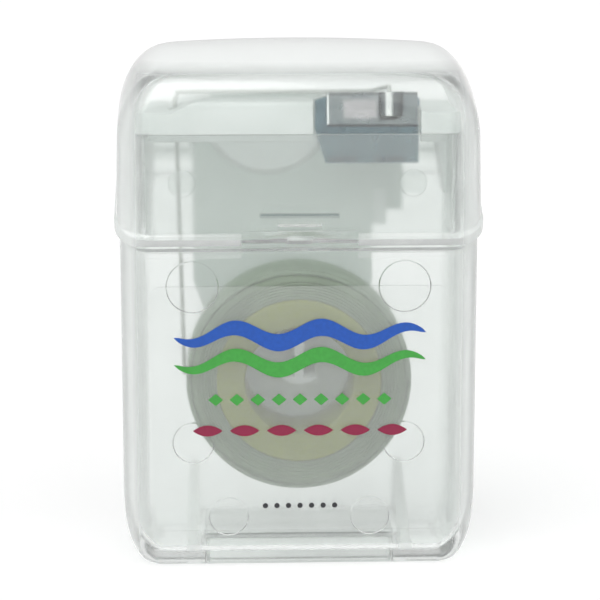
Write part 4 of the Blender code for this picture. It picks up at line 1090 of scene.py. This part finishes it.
def make_hinge_fold(surface):
    """The living hinge: a web that is thin on its axis and thickens into the lid and the case."""
    reach = WEB_HEIGHT / 2 + SEAT_GAP - HAIR
    half = WEB_WIDTH / 2 + SEAT_GAP - HAIR
    outer, inner = [], []
    for place in from_side_to_side(WEB_STEPS):
        offset = reach * place
        share = min(abs(offset) / reach, 1.0)
        swell = share * share * (3 - 2 * share)
        thick = WEB_THIN + (WEB_THICK - WEB_THIN) * swell
        outer.append((HINGE.y - UNDERLAP * (1 - swell), HINGE.z + offset))
        inner.append((HINGE.y - thick, HINGE.z + offset))
    outline = outer + inner[::-1]
    columns = [[(half * place, y, z) for y, z in outline] for place in from_side_to_side(WEB_STEPS)]
    return loft("hinge_fold", columns, surface)


# Fitment

def make_trough(name, radius, front, back, top):
    """A half-round trough about the finger well's axis, with its ends drawn in a little."""
    rows = []
    for length_share, radius_share in WELL_END_SHARES:
        y = front + (back - front) * length_share
        reach = radius * radius_share
        turns = [pi + pi * step / HOLE_SIDES for step in range(HOLE_SIDES + 1)]
        row = [(WELL_X + reach * cos(turn), y, WELL_Z + reach * sin(turn)) for turn in turns]
        rows.append(row + [(WELL_X + reach, y, top), (WELL_X - reach, y, top)])
    return loft(name, rows)


def make_tongue():
    """The plate behind the spool, from the head down past the post."""
    foot = POST_Z - TONGUE_FOOT_BELOW_POST
    top = HEAD_TOP - DECK / 2
    step_high, step_low = TONGUE_STEP_HEIGHTS
    outline = [(TONGUE_LEFT, top), (TONGUE_LEFT, TONGUE_TAPER_HEIGHT), (POST_X - TONGUE_FOOT_HALF, foot),
               (POST_X + TONGUE_FOOT_HALF, foot), (TONGUE_STEP_X[1], TONGUE_TAPER_HEIGHT),
               (TONGUE_STEP_X[1], step_low), (TONGUE_STEP_X[0], step_low), (TONGUE_STEP_X[0], step_high),
               (TONGUE_RIGHT, step_high), (TONGUE_RIGHT, top)]
    return prism("tongue", outline, TONGUE_FRONT, TONGUE_BACK, "Y")


def make_end_tab():
    """A tab inside the neck's right end that thins towards its foot."""
    thick = PLUG_HALF_X - END_TAB_THICKNESS
    top = HEAD_TOP - DECK / 2
    outline = [(PLUG_HALF_X, top), (PLUG_HALF_X, END_TAB_FOOT),
               (PLUG_HALF_X - END_TAB_FOOT_THICKNESS, END_TAB_FOOT), (thick, END_TAB_SHOULDER), (thick, top)]
    return prism("end_tab", outline, CASE_Y - END_TAB_DEPTH / 2, CASE_Y + END_TAB_DEPTH / 2, "Y")


def make_tongue_rib():
    right, left = TONGUE_STEP_X
    return block("tongue_rib", (left + UNDERLAP, right - UNDERLAP),
                 (TONGUE_FRONT - RIB_OUT, TONGUE_BACK - TONGUE_THICKNESS / 2),
                 (TONGUE_STEP_HEIGHTS[1] + UNDERLAP, RIB_TOP))


def make_post():
    """The spool's post: round outside, with a pocket on each side of a middle web."""
    front = core_low.y + CORE_ROUND
    post = prism("post", circle((POST_X, POST_Z), POST_RADIUS), front,
                 TONGUE_BACK - TONGUE_THICKNESS / 2, "Y")
    reach = POST_RADIUS - POST_FLANGE
    depth = (front - OVERRUN, TONGUE_FRONT - POST_POCKET_FLOOR)
    pockets = []
    for side, name in SIDES:
        ends = sorted((POST_X + side * POST_WEB / 2, POST_X + side * (POST_RADIUS + OVERRUN)))
        pockets.append(block(f"post_pocket_{name}", ends, depth, (POST_Z - reach, POST_Z + reach)))
    return carve(post, cuts=pockets)


def plate_y(height):
    """Front face of the cutter's leaning plate at a height."""
    share = (height - CUTTER_FOOT) / (CUTTER_TOP - CUTTER_FOOT)
    return CUTTER_FOOT_Y + (CUTTER_TOP_Y - CUTTER_FOOT_Y) * share


def make_cutter_recess():
    """Takes the head's front back to a leaning seat behind the cutter's plate."""
    behind = STEEL + SEAT_GAP
    low = CUTTER_FOOT - SEAT_GAP
    high = HEAD_TOP + OVERRUN
    front = CASE_Y - BODY_HALF_Y
    outline = [(front, low), (plate_y(low) + behind, low), (plate_y(high) + behind, high), (front, high)]
    return prism("cutter_recess", outline, CUTTER_LEFT - SEAT_GAP, CUTTER_RIGHT + SEAT_GAP, "X")


def leg_windows():
    """Open the head and the plug below the plate and beside it, so that the rear leg shows there."""
    depth = (CASE_Y - BODY_HALF_Y, CUTTER_LEG_Y - STEEL)
    low = HEAD_BOTTOM - PLUG_LENGTH - OVERRUN
    below = block("leg_window", (CUTTER_LEFT - SEAT_GAP, CUTTER_RIGHT + SEAT_GAP), depth, (low, CUTTER_FOOT))
    beside = block("ear_window", (CUTTER_LEFT - EAR_LEFT - SEAT_GAP, CUTTER_LEFT), depth,
                   (low - OVERRUN, HEAD_TOP + OVERRUN))
    return [below, beside]


def head_shoulders():
    """Cuts that lower both ends of the head's top behind short ramps."""
    low = HEAD_TOP - HEAD_SHOULDER_DROP
    high = HEAD_TOP + OVERRUN
    shoulders = []
    for side, name in SIDES:
        end, foot = side * (NECK_HALF_X + OVERRUN), side * (NECK_HALF_X - HEAD_SHOULDER_WIDTH)
        ramp_top = foot - side * HEAD_RAMP
        outline = [(end, low), (foot, low), (ramp_top, HEAD_TOP + HAIR), (ramp_top, high), (end, high)]
        shoulders.append(prism(f"shoulder_{name}", outline, CASE_Y - BODY_HALF_Y, CASE_Y + BODY_HALF_Y, "Y"))
    return shoulders


def make_leg_slot():
    """Lets the cutter's rear leg pass down through the deck."""
    return block("leg_slot", (CUTTER_LEFT - EAR_LEFT - SEAT_GAP, CUTTER_RIGHT + EAR_RIGHT + SEAT_GAP),
                 (CUTTER_LEG_Y - STEEL - SEAT_GAP, CUTTER_LEG_Y + SEAT_GAP),
                 (HEAD_TOP - DECK - OVERRUN, HEAD_TOP + OVERRUN))


def make_fitment(surface):
    """Head, plug, end tab, finger well, tongue, rib and post as one moulding, cut for the cutter."""
    lean = HEAD_LEAN / 2
    plug = (PLUG_HALF_X, PLUG_HALF_Y, PLUG_CORNER)
    hollow = (PLUG_HALF_X - PLUG_WALL, PLUG_HALF_Y - PLUG_WALL, PLUG_CORNER / 2)
    plug_bottom = HEAD_BOTTOM - PLUG_LENGTH
    stations = [
        Station(NECK_HALF_X - HEAD_FLAT_IN, HEAD_HALF_Y - lean - HEAD_FLAT_IN, PLUG_CORNER, HEAD_TOP,
                0.0, lean),
        Station(NECK_HALF_X, HEAD_HALF_Y - lean, NECK_CORNER, HEAD_TOP, 0.0, lean, HEAD_END_ROUND),
        Station(NECK_HALF_X, HEAD_HALF_Y, NECK_CORNER, HEAD_BOTTOM, radius=HEAD_SEAM_ROUND),
        Station(*plug, HEAD_BOTTOM),
        Station(*plug, plug_bottom, radius=EDGE_ROUND / 2),
        Station(*hollow, plug_bottom, radius=EDGE_ROUND / 2),
        Station(*hollow, HEAD_TOP - DECK),
    ]
    fitment = loft("fitment", station_rings(stations), surface)
    trough = make_trough("well_trough", WELL_RADIUS, WELL_FRONT, WELL_BACK, HEAD_TOP - DECK / 2)
    pocket = make_trough("well_pocket", WELL_RADIUS - WELL_WALL, WELL_FRONT + WELL_END_WALL,
                         WELL_BACK - WELL_END_WALL, HEAD_TOP + OVERRUN)
    guide = prism("guide_hole", circle((GUIDE_X, SPOOL.y), GUIDE_RADIUS), HEAD_TOP - DECK - OVERRUN,
                  HEAD_TOP + OVERRUN, "Z")
    carve(fitment, [trough, make_end_tab(), make_tongue(), make_tongue_rib(), make_post()],
          [pocket, guide, make_cutter_recess(), *leg_windows(), make_leg_slot(), *head_shoulders()])
    even_normals(fitment)
    return fitment


# Cutter

def make_sheet(name, rows, thickness, offset, surface=None):
    """A sheet through rows of points, thickened to one side or to both."""
    bm, _ = grid_of_faces(rows, closed=False)
    sheet = mesh_object(name, bm, surface)
    step = sheet.modifiers.new("thickness", "SOLIDIFY")
    step.thickness = thickness
    step.offset = offset
    step.use_even_offset = True
    return sheet


def fold(before, corner, after):
    """Points of a rounded fold between three (y, z) places."""
    before, corner, after = Vector(before), Vector(corner), Vector(after)
    start = corner + (before - corner).normalized() * CUTTER_FOLD
    end = corner + (after - corner).normalized() * CUTTER_FOLD
    return [start.lerp(corner, share).lerp(corner.lerp(end, share), share) for share in shares(ROUND_STEPS)]


def make_cutter(surface):
    """A leaning front plate, a flat top and a rear leg, folded from one strip, with a raised tooth."""
    foot = (plate_y(CUTTER_FOOT), CUTTER_FOOT)
    front_edge = (CUTTER_TOP_Y, CUTTER_TOP)
    back_edge = (CUTTER_LEG_Y, CUTTER_TOP)
    leg_top = (CUTTER_LEG_Y, CUTTER_TOP - CUTTER_FOLD * 2)
    plain = [Vector(foot), *fold(foot, front_edge, back_edge), *fold(front_edge, back_edge, leg_top)]
    rows = [[(x, y, z) for x in (CUTTER_LEFT, CUTTER_RIGHT)] for y, z in plain]
    ear_left, ear_right = CUTTER_LEFT - EAR_LEFT, CUTTER_RIGHT + EAR_RIGHT
    leg = ((CUTTER_TOP - CUTTER_FOLD * 2, ear_left), (CUTTER_TOP - CUTTER_BEVEL_DROP, ear_left),
           (CUTTER_LEG_FOOT, ear_left + CUTTER_LEG_BEVEL))
    rows += [[(left, CUTTER_LEG_Y, z), (ear_right, CUTTER_LEG_Y, z)] for z, left in leg]
    strip = make_sheet("cutter_strip", rows, STEEL, -1.0, surface)
    carve(strip, cuts=[make_tooth_window()])
    carve(strip, [make_tooth(), *leg_barbs()])
    return strip


def leg_barbs():
    """Two short barbs near the leg's foot that hold the cutter in the fitment."""
    low = CUTTER_LEG_FOOT + BARB_ABOVE_FOOT
    front = CUTTER_LEG_Y - STEEL
    outline = [(front - BARB_OUT, low), (front + UNDERLAP, low), (front + UNDERLAP, low + BARB_RISE)]
    return [prism(f"barb_{index}", outline, CUTTER_LEFT + left, CUTTER_LEFT + left + BARB_WIDTH, "X")
            for index, left in enumerate(BARB_FROM_LEFT)]


def make_tooth_window():
    """The hole that the tooth was bent out of."""
    low, high = (CUTTER_FOOT + (CUTTER_TOP - CUTTER_FOOT) * share for share in WINDOW_SPAN_SHARES)
    outline = [(plate_y(low) - STEEL, low), (plate_y(low) + STEEL * 2, low),
               (plate_y(high) + STEEL * 2, high), (plate_y(high) - STEEL, high)]
    return prism("tooth_window", outline, TOOTH_X - WINDOW_REACH, TOOTH_X, "X")


def make_tooth():
    """A curled tongue of steel with a saw edge, open towards the floss's side."""
    low, high = TOOTH_LOW, CUTTER_FOOT + (CUTTER_TOP - CUTTER_FOOT) * TOOTH_SPAN_SHARES[1]
    root = STEEL / 2
    rows = []
    for step in range(TOOTH_ROWS):
        height = low + (high - low) * step / (TOOTH_ROWS - 1)
        notch = TOOTH_NOTCH if step % 2 else 0.0
        row = []
        for column in range(TOOTH_COLUMNS + 1):
            share = column / TOOTH_COLUMNS
            out = (TOOTH_OUT + root) * sin(0.5 * pi * min(share / TOOTH_CURVED_SHARE, 1.0))
            reach = TOOTH_REACH * share - (notch if column == TOOTH_COLUMNS else 0.0)
            row.append((TOOTH_X + TOOTH_STEEL - reach, plate_y(height) + root - out, height))
        rows.append(row)
    return carve(make_sheet("tooth", rows, TOOTH_STEEL, 0.0))


# Spool and floss

def make_core(surface):
    """The ring that the floss is wound on, with rounded rims."""
    front, back = core_low.y, core_high.y
    corners = ((CORE_BORE, front, 1, 1), (CORE_RADIUS, front, -1, 1),
               (CORE_RADIUS, back, -1, -1), (CORE_BORE, back, 1, -1))
    profile = []
    for index, (radius, y, inward, along) in enumerate(corners):
        for turn in quarter_turns(ROUND_STEPS):
            first, second = 1 - sin(turn), 1 - cos(turn)
            if index % 2:
                first, second = second, first
            profile.append((radius + inward * CORE_ROUND * second, y + along * CORE_ROUND * first))
    return turned("core_ring", profile, surface)


def make_cake(surface):
    """The inner layers of floss: end faces in fine rings, one for each layer, and rounded shoulders."""
    front, back = SPOOL.y - CAKE_LENGTH / 2, SPOOL.y + CAKE_LENGTH / 2
    bore = CORE_RADIUS + CAKE_BORE_GAP
    outer = CAKE_RADIUS - TURN_TUBE
    low = outer - CAKE_SHOULDER
    layers = ceil((low - bore) / LAYER)
    face = []
    for share in shares(layers * LAYER_STEPS):
        dip = LAYER_RELIEF * (0.5 + 0.5 * cos(tau * layers * share))
        face.append((bore + (low - bore) * share, dip))
    shoulder = [(low + CAKE_SHOULDER * sin(turn), CAKE_SHOULDER * (1 - cos(turn)))
                for turn in quarter_turns(EDGE_STEPS)[1:]]
    half = face + shoulder
    profile = [(radius, front + depth) for radius, depth in half]
    profile += [(radius, back - depth) for radius, depth in reversed(half)]
    return turned("floss_layers", profile, surface)


def make_turns(surface):
    """The outer layer of floss: one thread wound side by side over the shoulders and the middle."""
    span = TURN_PITCH * TURNS
    first = SPOOL.y - span / 2
    middle = CAKE_LENGTH / 2 - CAKE_SHOULDER
    count = TURNS * TURN_POINTS
    points = []
    for step in range(count + 1):
        turn = tau * step / TURN_POINTS
        y = first + span * step / count
        over = max(abs(y - SPOOL.y) - middle, 0.0)
        drop = CAKE_SHOULDER - (max(CAKE_SHOULDER ** 2 - over ** 2, 0.0)) ** 0.5
        radius = CAKE_RADIUS - TURN_TUBE / 2 - drop
        wander = TURN_WANDER * sum(share * sin(waves * turn + start) for waves, share, start in WANDER_WAVES)
        points.append(Vector((SPOOL.x + radius * cos(turn), y + wander, SPOOL.z + radius * sin(turn))))
    return tube("floss_turns", points, TURN_TUBE / 2, TURN_SIDES, surface)


def strand_route():
    """The strand's route: up from the spool, through the guide hole, across the deck and
    the well, over the cutter and down behind its tooth."""
    left = SPOOL.x - CAKE_RADIUS - HAIR - FLOSS / 2
    over_deck = HEAD_TOP + SEAT_GAP + FLOSS / 2
    over_cutter = CUTTER_TOP + SEAT_GAP + FLOSS / 2
    front_gap = (TOOTH_OUT - TOOTH_STEEL / 2) / 2
    tail = CUTTER_TOP - STRAND_TAIL
    mid_height = (SPOOL.z + HEAD_TOP) / 2
    top_x = TOOTH_X - STRAND_FROM_TOOTH
    return [Vector(place) for place in (
        (left, SPOOL.y, SPOOL.z),
        ((left + GUIDE_X) / 2, SPOOL.y, mid_height),
        (GUIDE_X, SPOOL.y, HEAD_TOP - DECK),
        (GUIDE_X, SPOOL.y, HEAD_TOP - STRAND_BEND / 2),
        (GUIDE_X + STRAND_BEND / 3, SPOOL.y, over_deck - STRAND_BEND / 6),
        (GUIDE_X + STRAND_BEND, SPOOL.y, over_deck),
        (WELL_X, SPOOL.y, over_deck),
        (top_x - STRAND_BEND * 3, SPOOL.y, over_deck),
        (top_x - STRAND_BEND, SPOOL.y - STRAND_BEND / 2, (over_deck + over_cutter) / 2),
        (top_x, CUTTER_LEG_Y, over_cutter),
        (top_x, CUTTER_TOP_Y + CUTTER_FOLD, over_cutter),
        (top_x, plate_y(CUTTER_TOP) - front_gap, CUTTER_TOP),
        (top_x, plate_y(tail) - front_gap, tail),
    )]


def smooth_points(route, step_length):
    """Points of a Catmull-Rom curve through the route, about one step apart."""
    padded = [route[0] * 2 - route[1]] + route + [route[-1] * 2 - route[-2]]
    points = [route[0]]
    for around in zip(padded, padded[1:], padded[2:], padded[3:]):
        steps = max(1, ceil((around[2] - around[1]).length / step_length))
        points += [smooth_value(around, step / steps) for step in range(1, steps + 1)]
    return points


def make_strand(surface):
    return tube("strand", smooth_points(strand_route(), STRAND_STEP), FLOSS / 2, STRAND_SIDES, surface)


# Label

def make_label(surface):
    """The clear film on the case's front."""
    right, high = label_high.x - LABEL_CORNER, label_high.z - LABEL_CORNER
    left, low = label_low.x + LABEL_CORNER, label_low.z + LABEL_CORNER
    outline = []
    for quarter, (x, z) in enumerate(((right, high), (left, high), (left, low), (right, low))):
        for step in range(CORNER_STEPS + 1):
            turn = (quarter + step / CORNER_STEPS) * pi / 2
            outline.append((x + LABEL_CORNER * cos(turn), z + LABEL_CORNER * sin(turn)))
    return prism("label_sheet", outline, label_low.y, label_high.y, "Y", surface)


def ink_shape(name, outline, surface):
    """A flat printed shape just in front of the film."""
    back = label_low.y - HAIR / 2
    return prism(name, outline, back - INK, back, "Y", surface)


RIBBON_STEPS = 60
RIBBON_WAVE = 0.75 * MM
RIBBON_WAVE_LENGTH = 8.4 * MM
RIBBON_HALF = 12.2 * MM
DIAMOND_HALF = (0.72 * MM, 0.6 * MM)
LENS_HALF = (1.45 * MM, 0.55 * MM)
DOT_RADIUS = 0.26 * MM

# Each ribbon's ink, height and width
RIBBONS = (("blue", 23.4 * MM, 1.7 * MM), ("green", 20.7 * MM, 1.5 * MM))

# Each row's height, start, end and count
DIAMOND_ROW = (17.0 * MM, -8.2 * MM, 8.2 * MM, 9)
LENS_ROW = (13.9 * MM, -9.0 * MM, 9.0 * MM, 6)
DOT_ROW = (6.3 * MM, -3.4 * MM, 3.4 * MM, 7)


def make_ribbon(name, middle, width, start, end, surface):
    """A wavy ribbon that thins to both ends."""
    upper, lower = [], []
    for share in shares(RIBBON_STEPS):
        x = start + (end - start) * share
        wave = middle + RIBBON_WAVE * sin(tau * x / RIBBON_WAVE_LENGTH)
        half = width / 2 * max(sin(pi * share), 0.0) ** 0.5 + HAIR
        upper.append((x, wave + half))
        lower.append((x, wave - half))
    return ink_shape(name, upper + lower[::-1], surface)


def row_places(row):
    height, start, end, count = row
    return [(start + (end - start) * index / (count - 1), height) for index in range(count)]


def diamond(centre, half):
    x, z = centre
    return [(x + half[0], z), (x, z + half[1]), (x - half[0], z), (x, z - half[1])]


def lens(centre, half):
    """A pointed oval between two arcs."""
    x, z = centre
    places = from_side_to_side(HOLE_SIDES)
    upper = [(x + half[0] * place, z + half[1] * (1 - place * place)) for place in places]
    lower = [(x + half[0] * place, z - half[1] * (1 - place * place)) for place in places[1:-1]]
    return upper + lower[::-1]


def make_pattern(inks):
    """Two long waves in two colours, a row of diamonds, a row of pointed ovals and a row of dots."""
    pieces = [make_ribbon(f"print_wave_{ink}", middle, width, -RIBBON_HALF, RIBBON_HALF, inks[ink])
              for ink, middle, width in RIBBONS]
    rows = (("diamond", DIAMOND_ROW, diamond, DIAMOND_HALF, "green"),
            ("oval", LENS_ROW, lens, LENS_HALF, "crimson"), ("dot", DOT_ROW, circle, DOT_RADIUS, "dark"))
    for name, row, outline, size, ink in rows:
        pieces += [ink_shape(f"print_{name}_{index}", outline(place, size), inks[ink])
                   for index, place in enumerate(row_places(row), 1)]
    return pieces


# Studio

FLOOR_SIZE = 3.0
FLOOR_COLOUR = 0.8
FLOOR_GLOW = 0.27
SOFT_LIGHT = 0.66
# Azimuth, elevation, strength and spread, with the angles in degrees
SUNS = ((-38.0, 52.0, 1.3, 50.0), (42.0, 38.0, 0.55, 60.0))
# Clear walls inside clear walls need more bounces than the defaults give
BOUNCES = {"max_bounces": 32, "transmission_bounces": 28, "transparent_max_bounces": 48}


def seen_directly(tree):
    """1 for what the camera sees, straight, mirrored or through clear walls, and 0 for diffuse light."""
    path = add(tree, "LightPath")
    rays = (path.outputs[f"Is {kind} Ray"] for kind in ("Camera", "Glossy", "Transmission"))
    return combined(tree, "MAXIMUM", *rays)


def make_floor():
    made, tree, _ = start_material("pale_floor")
    level = (FLOOR_COLOUR,) * 3
    paint = add(tree, "BsdfDiffuse", {"Color": (*level, 1.0)})
    light = add(tree, "Emission", {"Strength": product(tree, seen_directly(tree), FLOOR_GLOW)})
    both = add(tree, "AddShader", {0: paint.outputs[0], 1: light.outputs[0]})
    add(tree, "OutputMaterial", {"Surface": both.outputs[0]})
    corners = [Vector((x, y, 0.0)) for x, y in ((-1, -1), (1, -1), (1, 1), (-1, 1))]
    bm = bmesh.new()
    bm.faces.new([bm.verts.new(corner * FLOOR_SIZE) for corner in corners])
    floor = mesh_object("floor", bm, made)


def make_world():
    world = bpy.data.worlds.new("studio")
    bpy.context.scene.world = world
    world.use_nodes = True
    tree = world.node_tree
    tree.nodes.clear()
    sky = add(tree, "Background", {"Strength": rising(tree, seen_directly(tree), 0.0, 1.0, SOFT_LIGHT)})
    add(tree, "OutputWorld", {"Surface": sky.outputs[0]})


def make_suns():
    """Two broad soft lights from above: the stronger at the left, a weaker at the right."""
    for index, (azimuth, elevation, strength, spread) in enumerate(SUNS):
        data = bpy.data.lights.new(f"soft_light_{index + 1}", "SUN")
        data.energy = strength
        data.angle = radians(spread)
        lamp = add_object(data.name, data)
        side, up = radians(azimuth), radians(elevation)
        towards = Vector((sin(side) * cos(up), -cos(side) * cos(up), sin(up)))
        lamp.rotation_euler = towards.to_track_quat("Z", "Y").to_euler()


def make_camera():
    data = bpy.data.cameras.new("camera")
    data.lens = CAMERA_LENS
    camera = add_object("camera", data)
    back = Vector((sin(CAMERA_YAW) * cos(CAMERA_ELEVATION), -cos(CAMERA_YAW) * cos(CAMERA_ELEVATION),
                   sin(CAMERA_ELEVATION)))
    camera.location = Vector((CAMERA_SIDE, CASE_Y, CAMERA_AIM)) + back * CAMERA_DISTANCE
    camera.rotation_euler = back.to_track_quat("Z", "Y").to_euler()
    data.clip_start = CAMERA_DISTANCE * CLIP_START_SHARE
    bpy.context.scene.camera = camera


def dress(piece, body, slot, *nodes):
    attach(piece, body)
    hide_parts(*nodes)


make_camera()
make_world()
make_suns()
make_floor()
for limit, count in BOUNCES.items():
    setattr(bpy.context.scene.cycles, limit, count)
bpy.context.scene.view_settings.view_transform = "Standard"

wall = {"tint": PALE_GREEN, "haze": WALL_HAZE, "rough": WALL_ROUGH, "sheen": WALL_SHEEN,
        "side_haze": SIDE_HAZE}
rims = (rim_places, RIM_MILK)
case_plastic = clear_plastic("clear_case_plastic", **wall, milk=(rims, (gusset_places, GUSSET_MILK)),
                             shade_places=ledge_shade_places)
lid_plastic = clear_plastic("clear_lid_plastic", **wall, milk=(rims, (roof_places, ROOF_MILK)))
hinge_plastic = clear_plastic("hinge_plastic", PALE_GREEN, HINGE_HAZE, HINGE_ROUGH)
film = clear_plastic("label_film", FILM_TINT, FILM_HAZE, FILM_ROUGH)
inks = {name: printed_ink(f"{name}_ink", colour) for name, colour in INK_COLOURS.items()}

dress(make_case(case_plastic), "case", "clear_case", "case_body")
dress(make_lid(lid_plastic), "lid", "clear_lid", "lid")
dress(make_fitment(frosted_plastic()), "case", "frosted_insert", "insert")
dress(make_cutter(rolled_steel()), "case", "cutter_steel", "cutter")
dress(make_core(card_ring()), "spool", "core_ring", "spool_core")
layers = waxed_floss("wound_floss", *LAYER_GREEN)
# The outer turns are painted lighter than the layers, as painted light from above
outer = waxed_floss("outer_floss", *TURN_LIT_GREEN)
thread = waxed_floss("strand_floss", *STRAND_WHITE)
dress(make_cake(layers), "spool", "wound_floss", "floss_winding")
dress(make_turns(outer), "spool", "outer_floss", "floss_outer_turns")
dress(make_strand(thread), "case", "strand_floss", "floss_strand")
dress(make_label(film), "case", "label_film", "front_label")
for printed in make_pattern(inks):
    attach(printed, "case")

hinge_fold = make_hinge_fold(hinge_plastic)
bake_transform(hinge_fold)
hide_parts("living_hinge")
